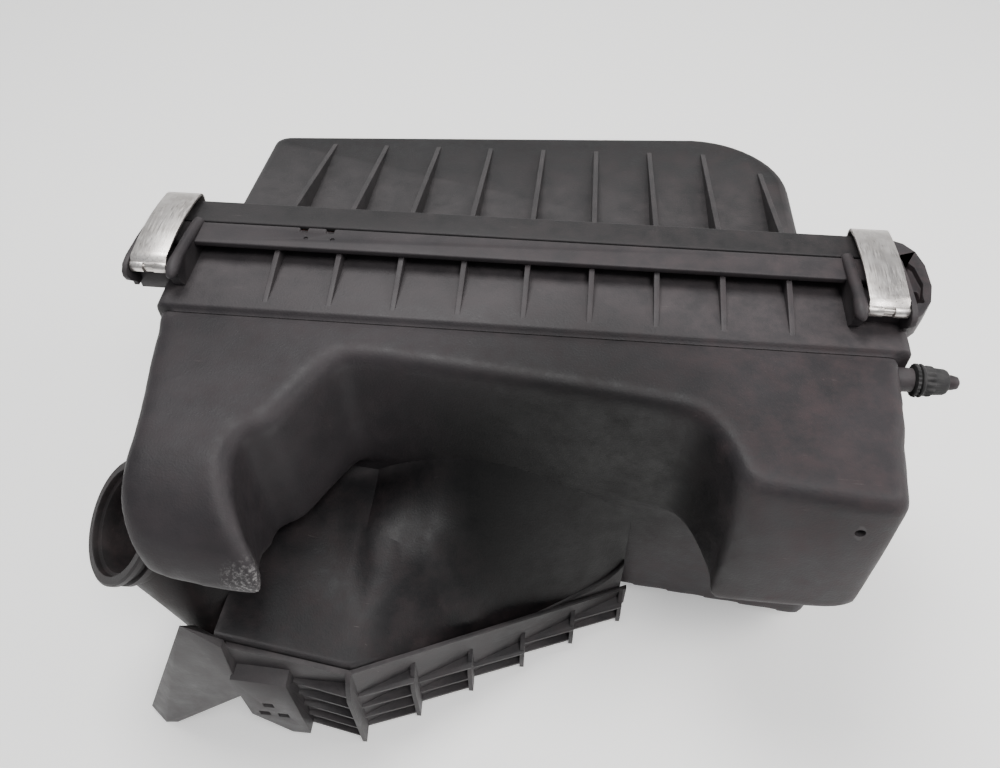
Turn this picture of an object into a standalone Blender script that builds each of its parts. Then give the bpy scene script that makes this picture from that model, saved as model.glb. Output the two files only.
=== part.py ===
"""Air filter housing: moulded lower case, hinged upper cover, pleated element and fittings.

Lengths are written in millimetres and scaled to metres when a mesh is made.
Working axes: X along the long side, Y from the underside towards the cover,
Z from the bench up to the front wall.  Y = 0 is the parting plane and Z = 0 the
front face of the case collar; finish() moves everything to the resting frame.
"""
import math

import bmesh
import bpy
from mathutils import Matrix, Vector

# ---- driving dimensions, mm ----
MM = 0.001
GAP = 0.3                 # clearance where pieces touch
WALL = 2.6                # moulded wall
BENCH_Z = -176.0          # bench level under the rear side
DEPTH_REAR = -165.0       # rear face of the collar
COLLAR_X = 166.0          # half length of the collar
STEP_Y = -45.5            # ledge under the collar
BODY_X = 155.0            # half length of the body below the ledge
FLOOR_Y = -76.5           # underside of the shallow part of the case at mid length
FLOOR_TILT = -0.075       # rise of that underside towards the left end
RIM_X0, RIM_X1 = -178.0, 167.0   # flange ends
RIM_Z0, RIM_Z1 = -168.0, 10.0    # flange rear and front faces
RIM_CASE_Y = -14.4        # lower edge of the case skirt
RIM_LID_Y = 15.6          # upper edge of the cover skirt
SKIRT_T = 3.0
PITCH = 29.0              # gusset pitch, collar and cover
GUSSETS = 9
GUSSET_T = 2.4
BOX_X0, BOX_X1 = 86.0, 149.0     # sump box at the right
BOX_Y, BOX_Z0 = -130.0, -82.0
LOBE_X0, LOBE_X1 = -150.0, -104.0
LOBE_Y, LOBE_Z0 = -161.0, -78.0
LOBE_R = 44.0
WEB_PITCH = 25.0
WEBS = 6
WEB_X0 = -67.0
TRAY_Y = -164.5           # outer face of the rib tray at the left
TRAY_T = 2.4
WEB_OUT = 7.5             # how far the webs stand out of the tray
MOUTH = (-170.0, -126.0, -56.0)  # centre of the intake mouth
MOUTH_DIR = (-0.60, -0.35, 0.72)  # way the mouth faces
MOUTH_R = 28.0
NECK_IN = (-121.6, -126.0, -117.0)  # centre of the neck where it enters the duct
NECK_RY, NECK_RZ = 36.0, 29.0
LID_X0, LID_X1 = -152.0, 130.0
LID_YL, LID_YR = 100.0, 121.5
LID_R = 48.0
LID_Z0, LID_Z1 = -158.0, -4.0
LID_DRAFT = 0.07
OUT_X, OUT_Y, OUT_R = 30.0, 62.0, 34.0
CLIP_XS = (-168.5, 153.5)
CLIP_W = 16.4
CLIP_T = 1.0
PIN_Y, PIN_Z, PIN_R = -33.5, 10.5, 1.6
HINGE_Y, HINGE_Z = -4.0, -171.0
HINGE_XS = (-95.0, 95.0)
EAR_X, EAR_Z = 167.0, -5.0
GROM_Y, GROM_Z = -50.5, -13.0

PLASTIC = (0.045, 0.044, 0.046, 1.0)
PIECES = {}
SHIFT = [0.0, 0.0, 0.0]


# ---- helpers ----
def material(name, colour, rough, metal):
    mat = bpy.data.materials.get(name)
    if mat:
        return mat
    mat = bpy.data.materials.new(name)
    mat.use_nodes = True
    bsdf = mat.node_tree.nodes["Principled BSDF"]
    bsdf.inputs["Base Color"].default_value = colour
    bsdf.inputs["Roughness"].default_value = rough
    bsdf.inputs["Metallic"].default_value = metal
    mat.diffuse_color = colour
    return mat


def mesh_object(name, points, faces):
    mesh = bpy.data.meshes.new(name)
    mesh.from_pydata([tuple(c * MM for c in p) for p in points], [], faces)
    bm = bmesh.new()
    bm.from_mesh(mesh)
    bmesh.ops.recalc_face_normals(bm, faces=bm.faces)
    bm.to_mesh(mesh)
    bm.free()
    obj = bpy.data.objects.new(name, mesh)
    bpy.context.scene.collection.objects.link(obj)
    return obj


def loft(rings, name="tool"):
    count = len(rings[0])
    points = [p for ring in rings for p in ring]
    faces = [list(range(count)), list(range(len(points) - count, len(points)))]
    for k in range(len(rings) - 1):
        for i in range(count):
            j = (i + 1) % count
            a, b = k * count, (k + 1) * count
            faces.append([a + i, a + j, b + j, b + i])
    return mesh_object(name, points, faces)


def corner(cu, cv, radius, start, segments):
    out = []
    for i in range(segments + 1):
        a = math.radians(start + 90.0 * i / segments)
        out.append((cu + radius * math.cos(a), cv + radius * math.sin(a)))
    return out


def rounded(u0, u1, v0, v1, radius, segments=4):
    """Rounded rectangle in (u, v); radius is one number or one per corner ++, -+, --, +-."""
    radii = radius if isinstance(radius, tuple) else (radius,) * 4
    radii = [max(r, 0.05) for r in radii]
    out = corner(u1 - radii[0], v1 - radii[0], radii[0], 0, segments)
    out += corner(u0 + radii[1], v1 - radii[1], radii[1], 90, segments)
    out += corner(u0 + radii[2], v0 + radii[2], radii[2], 180, segments)
    out += corner(u1 - radii[3], v0 + radii[3], radii[3], 270, segments)
    return out


def on_y(shape, y):
    return [(u, y, v) for u, v in shape]


def on_x(shape, x):
    return [(x, u, v) for u, v in shape]


def on_z(shape, z):
    return [(u, v, z) for u, v in shape]


def box(x0, x1, y0, y1, z0, z1):
    return loft([on_z([(x0, y0), (x1, y0), (x1, y1), (x0, y1)], z) for z in (z0, z1)])


def prism_x(shape, x0, x1):
    return loft([on_x(shape, x) for x in (x0, x1)])


def prism_z(shape, z0, z1):
    return loft([on_z(shape, z) for z in (z0, z1)])


def disc(cu, cv, radius, segments=24):
    out = []
    for i in range(segments):
        a = 2.0 * math.pi * i / segments
        out.append((cu + radius * math.cos(a), cv + radius * math.sin(a)))
    return out


def ellipse(cu, cv, ru, rv, segments=32):
    return [((u - 0.0) * ru + cu, v * rv + cv) for u, v in disc(0.0, 0.0, 1.0, segments)]


def boolean(target, tool, operation):
    mod = target.modifiers.new("cut", "BOOLEAN")
    mod.operation = operation
    mod.solver = "EXACT"
    mod.object = tool
    tool.hide_render = True
    graph = bpy.context.evaluated_depsgraph_get()
    mesh = bpy.data.meshes.new_from_object(target.evaluated_get(graph))
    target.modifiers.remove(mod)
    old = target.data
    target.data = mesh
    bpy.data.meshes.remove(old)
    used = tool.data
    bpy.data.objects.remove(tool)
    bpy.data.meshes.remove(used)
    return target


def join(target, *tools):
    for tool in tools:
        boolean(target, tool, "UNION")
    return target


def cut(target, *tools):
    for tool in tools:
        boolean(target, tool, "DIFFERENCE")
    return target


def piece(obj, name, mat, smooth=True, pivot=None):
    """Clean the mesh, name it and give it its material."""
    bm = bmesh.new()
    bm.from_mesh(obj.data)
    bmesh.ops.remove_doubles(bm, verts=bm.verts, dist=0.00002)
    bmesh.ops.dissolve_degenerate(bm, dist=0.00001, edges=bm.edges)
    bmesh.ops.dissolve_limit(bm, angle_limit=math.radians(0.4), verts=bm.verts,
                             edges=bm.edges, delimit={"NORMAL"})
    bmesh.ops.triangulate(bm, faces=bm.faces)
    bmesh.ops.recalc_face_normals(bm, faces=bm.faces)
    for edge in bm.edges:
        flat = len(edge.link_faces) == 2 and edge.calc_face_angle(0.0) < math.radians(32)
        edge.smooth = flat
    for face in bm.faces:
        face.smooth = smooth
    bm.to_mesh(obj.data)
    bm.free()
    obj.name = name
    obj.data.name = name
    obj.data.materials.clear()
    obj.data.materials.append(mat)
    PIECES[name] = (obj, pivot)
    return obj


# ---- shared outlines ----
def rim_ring(inset, y, segments=4):
    shape = rounded(RIM_X0 + inset, RIM_X1 - inset, RIM_Z0 + inset, RIM_Z1 - inset,
                    max(9.0 - inset, 1.0), segments)
    return on_y(shape, y)


def duct_floor(x):
    """Height of the duct's domed front face where it meets the case floor."""
    return -67.0 - 0.0069 * (max(x, -70.0) + 12.0) ** 2


def duct_front(x):
    """Height of the same face at its lower edge."""
    return -80.0 - min(max(x + 58.0, 0.0) * 1.25, 62.0)


def tray_low(x):
    """Outer face of the rib tray: level at the left, rising to the right."""
    return TRAY_Y + max(x - WEB_X0, 0.0) * 0.61


def duct_low(x):
    return tray_low(x) + TRAY_T + 2 * GAP


def tilted(shape, y):
    """Ring whose height follows the tilt of the case floor."""
    return [(u, y + FLOOR_TILT * u, v) for u, v in shape]


def shoulder_ring(t, e, z):
    shape = [(-126.0, -52.0), (-58.0, -52.0), (-61.0, -62.0), (-71.0, -67.0), (-81.0, -76.0),
             (-90.0, -91.0), (-97.0, -106.0), (-108.0, -117.0), (-126.0, -119.0)]
    out = []
    for k, (x, y) in enumerate(shape):
        move = 0.0 if k in (0, 8) else (t + e)
        out.append((x - move * 0.8, y + (move * 0.6 if k > 1 else 0.0), z))
    return out


def case_tools(t):
    """Outer solid of the lower case for t = 0, its cavity for t = the wall."""
    side = COLLAR_X - t
    rings = [on_y(rounded(-side - 1.4, side + 1.4, DEPTH_REAR - 0.6 + t, 0.6 - t, 5 - t),
                  -0.8 if t == 0.0 else 3.0),
             on_y(rounded(-side, side, DEPTH_REAR + t, -t, 5 - t), STEP_Y + t),
             on_y(rounded(-side + 1.0, side - 1.0, DEPTH_REAR + 1 + t, -1.6 - t, 5 - t),
                  STEP_Y - 0.2 + t),
             on_y(rounded(-BODY_X + t, BODY_X - t, DEPTH_REAR + 2 + t, -2.0 - t, 10 - t), -54.0 + t),
             tilted(rounded(-154.4 + t, 154.4 - t, DEPTH_REAR + 3 + t, -2.6 - t, 10 - t), FLOOR_Y + 8 + t),
             tilted(rounded(-152.0 + t, 152.0 - t, DEPTH_REAR + 5.5 + t, -4.8 - t, 10 - t),
                    FLOOR_Y + 2.3 + t),
             tilted(rounded(-147 + t, 147 - t, DEPTH_REAR + 11 + t, -10.6 - t, 8 - t), FLOOR_Y + t)]
    body = loft(rings)
    # sump box at the right
    sump = []
    for y, e, left in ((-54.0, 0.0, 60.0), (-82.0, 0.0, 73.0), (-90.0, 0.0, 83.0), (-101.0, 0.0, 88.0),
                       (BOX_Y + 9, 0.0, 88.0), (BOX_Y + 2.6, 2.2, 87.0), (BOX_Y, 7.5, 86.0)):
        d = (y + 54.0) / (BOX_Y + 54.0)
        shape = rounded(left + t + e * 0.3, 154.8 - 5.0 * d - t - e,
                        BOX_Z0 + t + e * 0.3, -2.0 - 1.2 * d - t - e, (10 - t, 4 - t, 4 - t, 10 - t))
        sump.append(on_y(shape, y + (t if y < -55 else 0.0)))
    # rounded lobe in front of the intake neck
    lobe = []
    for y, e, f, g in ((-54.0, 0.0, 0.0, 0.0), (-116.0, 0.0, 0.0, 0.0), (-130.0, 1.5, 3.5, 0.0),
                       (-143.0, 5.5, 11.0, 8.0), (-152.0, 12.0, 21.0, 16.0), (-158.0, 21.0, 31.0, 24.0),
                       (LOBE_Y, 32.0, 39.0, 31.0)):
        if t > 0.0 and y < -153.0:
            continue
        d = (y + 54.0) / (LOBE_Y + 54.0)
        shape = rounded(-154.8 + 3.5 * d + t + e, -105.0 + 10.0 * d - t - e * 0.1,
                        LOBE_Z0 + t + g, -2.2 - 1.6 * d - t - f,
                        (10 - t, 18 - t, 6 - t, 6 - t))
        lobe.append([(u, y + (t if y < -55 else 0.0) - 0.10 * d * (u + 120.0), v) for u, v in shape])
    lobe = loft(lobe)
    shoulder = loft([shoulder_ring(t, 0.0, LOBE_Z0 - 2 + t), shoulder_ring(t, 0.0, -12.0 - t),
                     shoulder_ring(t, 1.8, -6.0 - t), shoulder_ring(t, 6.0, -4.2 - t)])
    return [body, loft(sump), lobe, shoulder]


def make_case():
    case = join(*case_tools(0.0))
    # gussets under the flange and its plate with a hanging skirt
    for i in range(GUSSETS):
        x = (i - 4) * PITCH
        rib = prism_x([(-1.5, -2.0), (-1.5, 7.6), (RIM_CASE_Y + 2, 7.6), (RIM_CASE_Y, 6.8),
                       (STEP_Y + 2.5, -0.4), (STEP_Y + 2.5, -2.0)],
                      x - GUSSET_T / 2, x + GUSSET_T / 2)
        join(case, rib)
        rear = prism_x([(-1.5, DEPTH_REAR + 2), (-1.5, DEPTH_REAR - 2.4), (-9, DEPTH_REAR - 2.4),
                        (STEP_Y + 8, DEPTH_REAR + 0.4), (STEP_Y + 8, DEPTH_REAR + 2)],
                       x - GUSSET_T / 2, x + GUSSET_T / 2)
        join(case, rear)
    rim = loft([rim_ring(0.0, 0.0), rim_ring(0.0, RIM_CASE_Y)])
    hollow = loft([rim_ring(SKIRT_T, -3.0), rim_ring(SKIRT_T, RIM_CASE_Y - 1)])
    cut(rim, hollow)
    join(case, rim)
    # latch cheeks beside each strap, and the boss they stand on
    for x in CLIP_XS:
        for side in (-1, 1):
            outer = (side < 0) == (x < 0)
            half = 1.1 if outer else 2.6
            c = x + side * (CLIP_W / 2 + 0.5 + half)
            nose = [(0.0, 2.0), (0.0, 12.0), (-4.0, 13.2), (-31.0, 14.6), (-36.0, 13.8),
                    (-39.0, 10.5), (-39.0, 6.5), (-34.0, 2.0), (-34.0, -1.0), (-3.0, -1.0)]
            join(case, prism_x(nose, c - half, c + half))
        inner = -1 if x > 0 else 1
        ends = sorted((x + inner * (CLIP_W / 2 + 5.0), x - inner * (CLIP_W / 2 + 2.2)))
        join(case, box(ends[0], ends[1], -30.0, -1.0, -6.0, 5.5))
    # rear hinge ears
    for hx in HINGE_XS:
        for side in (-1, 1):
            ear = disc(HINGE_Y, HINGE_Z, 5.0, 20)
            join(case, prism_x(ear, hx + side * 9.5 - 2.0, hx + side * 9.5 + 2.0))
            join(case, box(hx + side * 9.5 - 2.0, hx + side * 9.5 + 2.0, -9.0, -0.5, -171.0, -165.0))
    # end loop beside the right strap and the isolator stud
    loop = prism_z(rounded(EAR_X - 10, EAR_X + 14, -30.0, 25.0, (14, 3, 4, 14)), EAR_Z - 6.5, EAR_Z + 6.5)
    cut(loop, prism_z(rounded(EAR_X + 0.6, EAR_X + 10.6, -21.0, -6.0, (2, 1, 1, 6)),
                      EAR_Z - 20, EAR_Z + 20))
    cut(loop, box(EAR_X - 20, EAR_X + 0.5, -1.0, 40.0, -60, 20))
    join(case, loop)
    stud = loft([on_x(disc(GROM_Y, GROM_Z, r, 20), x) for x, r in
                 ((145.0, 5.6), (167.4, 5.2), (167.5, 3.3), (184.0, 3.3), (186.5, 2.6), (187.5, 1.2))])
    join(case, stud)
    # cavities
    cavity = case_tools(WALL)
    cut(case, *cavity)
    # sleeve round the neck where it passes through the lobe
    sleeve = neck_solid(GAP + WALL)
    boolean(sleeve, box(-151.5, -99.0, -150.0, -70.0, LOBE_Z0 + 0.2, -10.0), "INTERSECT")
    join(case, sleeve)
    cut(case, neck_solid(GAP))
    # intake opening through the floor into the duct, and the neck's way in
    cut(case, box(-96.0, 30.0, FLOOR_Y - 12, FLOOR_Y + 14, -158.0, -122.0))
    # hinge bores, pin bores, drain
    for hx in HINGE_XS:
        cut(case, prism_x(disc(HINGE_Y, HINGE_Z, 2.55, 20), hx - 12, hx + 12))
    for x in CLIP_XS:
        cut(case, prism_x(disc(PIN_Y, PIN_Z, PIN_R, 16), x - 11, x + 11))
    cut(case, loft([on_y(disc(140.0, -14.0, 2.4, 14), y) for y in (BOX_Y - 4, BOX_Y + 8)]))
    # two rim notches
    for x in (-106.0, -93.5):
        cut(case, box(x - 1.6, x + 1.6, -3.2, 1.0, 8.6, 12.0))
    return piece(case, "lower_case", material("case_plastic", PLASTIC, 0.52, 0.0))


# ---- intake duct, tray, neck ----
def duct_ring(x, t):
    zf, zb = duct_floor(x), duct_front(x)
    top0 = FLOOR_Y + FLOOR_TILT * x - GAP
    low0 = min(duct_low(x), top0 - 4.0)
    slope = (zf - zb) / (top0 - low0)
    sink = t * math.sqrt(1.0 + slope * slope)
    top, low = top0 - t, low0 + t
    rear = -150.0 - min((x + 121.0) * 1.3, 21.0) + t

    def front(y):
        return zb + slope * (y - low0) - sink

    pts = [(top, rear), (top, front(top))]
    pts += [(top + (low - top) * k, front(top + (low - top) * k)) for k in (0.35, 0.7)]
    edge = min(2.0, (top - low) * 0.2)
    pts += [(low + edge, front(low + edge)), (low, front(low + edge) - edge), (low, rear)]
    return on_x(pts, x)


def make_duct():
    xs = [-121.0, -96.0, -76.0, -62.0, -50.0, -38.0, -26.0, -14.0, 0.0, 14.0, 28.0, 42.0, 50.0, 58.0]
    outer = loft([duct_ring(x, 0.0) for x in xs])
    inner = loft([duct_ring(x, WALL) for x in [-121.0 + WALL] + xs[1:-2] + [47.0]])
    cut(outer, inner)
    cut(outer, box(-94.0, 28.0, FLOOR_Y - 14, FLOOR_Y + 10, -156.0, -124.0))
    cut(outer, neck_solid(GAP))
    return piece(outer, "intake_duct", material("duct_plastic", PLASTIC, 0.55, 0.0))


def hull(points):
    bm = bmesh.new()
    for p in points:
        bm.verts.new([c * MM for c in p])
    res = bmesh.ops.convex_hull(bm, input=bm.verts)
    loose = [v for v in bm.verts if not v.link_faces]
    bmesh.ops.delete(bm, geom=loose, context="VERTS")
    mesh = bpy.data.meshes.new("hull")
    bm.to_mesh(mesh)
    bm.free()
    obj = bpy.data.objects.new("hull", mesh)
    bpy.context.scene.collection.objects.link(obj)
    return obj


def make_tray():
    """Snap-on rib tray under the duct with transverse webs, long ribs and a leg."""
    x_end = 61.0
    floor = []
    for x in (-119.0, -103.0, WEB_X0, x_end):
        low = tray_low(x)
        rear = -150.0 if x < -110 else -171.0
        floor.append(on_x([(low, rear), (low, duct_front(x) - 3.0), (low + TRAY_T, duct_front(x) - 3.0),
                           (low + TRAY_T, rear)], x))
    tray = loft(floor)
    pad = [(-119.0, -81.0), (-94.0, -81.0), (-94.0, -171.0), (-103.0, -171.0), (-119.0, -150.0)]
    join(tray, loft([on_y(pad, y) for y in (TRAY_Y - WEB_OUT, TRAY_Y + 1)]))
    for i in range(WEBS):
        x = WEB_X0 + i * WEB_PITCH
        low = tray_low(x)
        top = duct_front(x) - 3.0
        web = [(low + 1.0, top), (low - 3.5, top - 1.0), (low - WEB_OUT, top - 9.0),
               (low - WEB_OUT, BENCH_Z + 0.6), (low + 1.0, -171.0)]
        join(tray, prism_x(web, x - 1.3, x + 1.3))
    for z in (-97.0, -121.0, -145.0, -169.0):
        x0 = -95.0
        for i in range(WEBS):
            x1 = WEB_X0 + i * WEB_PITCH + 1.0
            if z < duct_front(x1 - 12) - 6.0:
                ribs = []
                for x in (x0, x1):
                    low = tray_low(x) + 0.5
                    ribs.append(on_x([(low, z - 1.2), (low, z + 1.2), (low - 6.0, z + 1.2),
                                      (low - 6.0, z - 1.2)], x))
                join(tray, loft(ribs))
            x0 = x1 - 2.0
    # wedge leg that reaches the bench
    leg = hull([(-133, -165, -69), (-118, -167.5, -82.5), (-118, -171.8, -126), (-118, -164, -126),
                (-133, -158, -84), (-118, -164, -82.5), (-172, -165, -168), (-179, -166, -172),
                (-164.5, -171.5, -176), (-170.5, -172, -176), (-178, -160, -176), (-165, -160, -176)])
    join(tray, leg)
    for x, z in ((-108.0, -136.0), (-103.0, -148.0)):
        cut(tray, box(x - 4, x + 4, TRAY_Y - 20, TRAY_Y - 4.5, z - 2.6, z + 2.6))
    cut(tray, neck_solid(GAP))
    return piece(tray, "rib_tray", material("tray_plastic", PLASTIC, 0.55, 0.0))


def neck_solid(grow):
    """Intake neck from the oval mouth to the duct; grow is added to its radius."""
    mouth, way = Vector(MOUTH), Vector(MOUTH_DIR).normalized()
    inner = Vector(NECK_IN)
    across = way.cross(Vector((0.0, 1.0, 0.0))).normalized()
    along = across.cross(way).normalized()
    steps = ((0.0, 0.0), (3.4, 0.0), (3.5, -2.0), (6.6, -2.0), (6.7, -0.6), (9.8, -0.6), (9.9, -2.0))
    rings = []
    for back, r in steps:
        ring = []
        for i in range(36):
            a = 2.0 * math.pi * i / 36
            rad = MOUTH_R + r + grow
            ring.append(mouth - way * back + along * rad * math.cos(a) + across * rad * math.sin(a))
        rings.append(ring)
    last = rings[-1]
    final = []
    for i in range(36):
        a = 2.0 * math.pi * i / 36
        final.append(inner + Vector((0.0, (NECK_RY + grow) * math.cos(a),
                                     -(NECK_RZ + grow) * math.sin(a))))
    for k in (0.33, 0.66):
        s = k * k * (3 - 2 * k)
        rings.append([p.lerp(q, 0.5 * k + 0.5 * s) for p, q in zip(last, final)])
    rings.append(final)
    rings.append([p + Vector((6.0, 0.0, 0.0)) for p in final])
    return loft([[tuple(p) for p in ring] for ring in rings])


def make_neck():
    neck = neck_solid(0.0)
    mouth, way = Vector(MOUTH), Vector(MOUTH_DIR).normalized()
    across = way.cross(Vector((0.0, 1.0, 0.0))).normalized()
    along = across.cross(way).normalized()
    inner = Vector(NECK_IN)
    first, last = [], []
    for i in range(36):
        a = 2.0 * math.pi * i / 36
        first.append((along * math.cos(a) + across * math.sin(a)) * (MOUTH_R - 4.6))
        last.append(inner + Vector((0.0, (NECK_RY - 2.6) * math.cos(a), -(NECK_RZ - 2.6) * math.sin(a))))
    rings = [[mouth + way * d + p for p in first] for d in (3.0, -12.0)]
    for k in (0.33, 0.66):
        s = k * k * (3 - 2 * k)
        rings.append([p.lerp(q, 0.5 * k + 0.5 * s) for p, q in zip(rings[1], last)])
    rings.append(last)
    rings.append([p + Vector((9.0, 0.0, 0.0)) for p in last])
    cut(neck, loft([[tuple(p) for p in ring] for ring in rings]))
    return neck


# ---- upper cover ----
def lid_outline(t, base_y, segments=8):
    x0, x1, r = LID_X0 + t, LID_X1 - t, LID_R - t
    slope = (LID_YR - LID_YL) / (LID_X1 - LID_X0)
    y_right = LID_YR - t
    pts = [(x0, base_y), (x1, base_y), (x1, y_right - r)]
    for i in range(1, segments + 1):
        a = math.radians(90.0 * i / segments)
        pts.append((x1 - r + r * math.cos(a), y_right - r + r * math.sin(a)))
    top_left = y_right - slope * (x1 - r - x0)
    pts += [(x0 + 9.0, top_left), (x0 + 6.0, top_left - 3.0)]
    return pts


def lid_ring(t, e, z, base_y, front):
    out = []
    for x, y in lid_outline(t + e, base_y):
        lean = LID_DRAFT * max(y - RIM_LID_Y, 0.0)
        out.append((x, y, z - lean if front else z + lean))
    return out


def lid_solid(t, base_y):
    rings = [lid_ring(t, 5.0, LID_Z1 - t, base_y, True), lid_ring(t, 1.5, LID_Z1 - t - 1.5, base_y, True),
             lid_ring(t, 0.0, LID_Z1 - t - 5.0, base_y, True),
             lid_ring(t, 0.0, LID_Z0 + t + 5.0, base_y, False),
             lid_ring(t, 1.5, LID_Z0 + t + 1.5, base_y, False),
             lid_ring(t, 5.0, LID_Z0 + t, base_y, False)]
    return loft(rings)


def make_lid():
    lid = lid_solid(0.0, RIM_LID_Y - 2.0)
    plate = loft([rim_ring(0.0, GAP), rim_ring(0.0, RIM_LID_Y)])
    cut(plate, loft([rim_ring(SKIRT_T, GAP - 1), rim_ring(SKIRT_T, RIM_LID_Y - 3.0)]))
    join(lid, plate)
    for i in range(GUSSETS):
        x = (i - 4) * PITCH
        top = min(100.0, 95.0 + 0.05 * x) if i < 8 else 86.0
        wall = LID_Z1 - LID_DRAFT * (top - RIM_LID_Y)
        rib = prism_x([(RIM_LID_Y - 1.5, -8.0), (RIM_LID_Y - 1.5, 8.2), (RIM_LID_Y + 1.0, 8.2),
                       (top, wall + 0.2), (top, wall - 4.0), (60.0, -12.0)],
                      x - GUSSET_T / 2, x + GUSSET_T / 2)
        join(lid, rib)
    # outlet spigot on the rear half of the crown
    boss = loft([on_z(disc(OUT_X, OUT_Y, OUT_R + 7.0, 40), z) for z in (LID_Z0 - 6.5, LID_Z0 + 12.0)])
    join(lid, boss)
    cut(lid, lid_solid(WALL, -20.0))
    cut(lid, loft([on_z(disc(OUT_X, OUT_Y, OUT_R - 3.0, 40), z) for z in (-185.0, -120.0)]))
    # hinge tongues with trunnions
    for hx in HINGE_XS:
        join(lid, box(hx - 6.0, hx + 6.0, HINGE_Y, 9.0, HINGE_Z - 1.6, HINGE_Z + 1.6),
             prism_x(disc(HINGE_Y, HINGE_Z, 2.6, 20), hx - 6.0, hx + 6.0))
        join(lid, prism_x(disc(HINGE_Y, HINGE_Z, 2.5, 20), hx - 11.4, hx + 11.4))
        join(lid, box(hx - 6.0, hx + 6.0, 4.0, 14.0, HINGE_Z - 1.6, RIM_Z0 + 1.0))
    return lid


def screw_spots():
    out = []
    for i in range(4):
        a = math.radians(45.0 + 90.0 * i)
        out.append((OUT_X + (OUT_R + 2.6) * math.cos(a), OUT_Y + (OUT_R + 2.6) * math.sin(a)))
    return out


def screws(lid):
    z0 = LID_Z0 - 6.5
    for k, (x, y) in enumerate(screw_spots()):
        cut(lid, loft([on_z(disc(x, y, 1.75, 14), z) for z in (z0 - 2.0, z0 + 9.0)]))
        prof = ((z0 + 8.0, 1.0), (z0 + 7.0, 1.7), (z0 - 4.3, 1.7), (z0 - 4.3, 3.4), (z0 - 6.2, 3.4),
                (z0 - 6.9, 2.6))
        screw = loft([on_z(disc(x, y, r, 14), z) for z, r in prof])
        cut(screw, loft([on_z(disc(x, y, 1.3, 6), z) for z in (z0 - 5.2, z0 - 8.0)]))
        piece(screw, "outlet_screw_%d" % (k + 1), material("screw_steel", (0.3, 0.3, 0.3, 1.0), 0.4, 1.0))


# ---- filter element ----
def make_element():
    outer = [rim_ring(SKIRT_T + 0.5, y) for y in (GAP, RIM_LID_Y - 3.0 - GAP)]
    seal = loft(outer)
    hole = loft([on_y(rounded(-147.0, 147.0, -151.0, -12.0, 0.8), y) for y in (-10.0, 30.0)])
    cut(seal, hole)
    piece(seal, "element_seal", material("seal_urethane", (0.62, 0.19, 0.05, 1.0), 0.7, 0.0))
    count, half = 46, 145.5
    upper, lower = [], []
    for i in range(2 * count + 1):
        x = -half + half * i / count
        peak = i % 2 == 0
        upper.append((x, 9.0 if peak else -33.0))
        lower.append((x, 7.0 if peak else -35.0))
    pleats = prism_z(upper + lower[::-1], -150.2, -12.8)
    piece(pleats, "element_pleats", material("filter_paper", (0.80, 0.72, 0.52, 1.0), 0.9, 0.0), False)


# ---- clips ----
def ribbon(path, thick):
    left, right = [], []
    for i, (y, z) in enumerate(path):
        a = path[max(i - 1, 0)]
        b = path[min(i + 1, len(path) - 1)]
        d = Vector((b[0] - a[0], b[1] - a[1])).normalized()
        left.append((y - d.y * thick / 2, z + d.x * thick / 2))
        right.append((y + d.y * thick / 2, z - d.x * thick / 2))
    return left + right[::-1]


def make_clip(x, tag):
    r = PIN_R + 0.08 + CLIP_T / 2
    path = []
    for i in range(10):
        a = math.radians(-60.0 - 24.0 * i)
        path.append((PIN_Y + r * math.cos(a), PIN_Z + r * math.sin(a)))
    for i in range(9):
        s = i / 8.0
        path.append((PIN_Y + 2.0 + 45.0 * s, 13.0 + 3.4 * math.sin(math.pi * (0.15 + 0.75 * s))))
    path += [(RIM_LID_Y + 0.6, 12.6), (RIM_LID_Y + 1.6, 10.8), (RIM_LID_Y + 1.2, 8.0),
             (RIM_LID_Y + 0.9, 5.0)]
    strap = prism_x(ribbon(path, CLIP_T), x - CLIP_W / 2, x + CLIP_W / 2)
    steel = material("clip_steel", (0.66, 0.65, 0.63, 1.0), 0.32, 1.0)
    piece(strap, "clip_" + tag, steel, True, (x, PIN_Y, PIN_Z))
    pin = prism_x(disc(PIN_Y, PIN_Z, PIN_R - 0.02, 16), x - 10.8, x + 10.8)
    piece(pin, "clip_pin_" + tag, material("pin_steel", (0.5, 0.5, 0.5, 1.0), 0.35, 1.0))


# ---- isolator, outlet ----
def make_grommet():
    prof = [(165.4, 5.2), (165.6, 7.2), (167.4, 7.2), (167.6, 5.2), (169.2, 5.2), (169.4, 6.6),
            (173.0, 6.9), (176.5, 6.5), (179.0, 5.6), (180.0, 4.4)]
    body = loft([on_x(disc(GROM_Y, GROM_Z, r, 24), x + 2.4) for x, r in prof])
    cut(body, prism_x(disc(GROM_Y, GROM_Z, 3.6, 24), 150.0, 200.0))
    piece(body, "mount_grommet", material("rubber", (0.03, 0.03, 0.03, 1.0), 0.8, 0.0))


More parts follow.
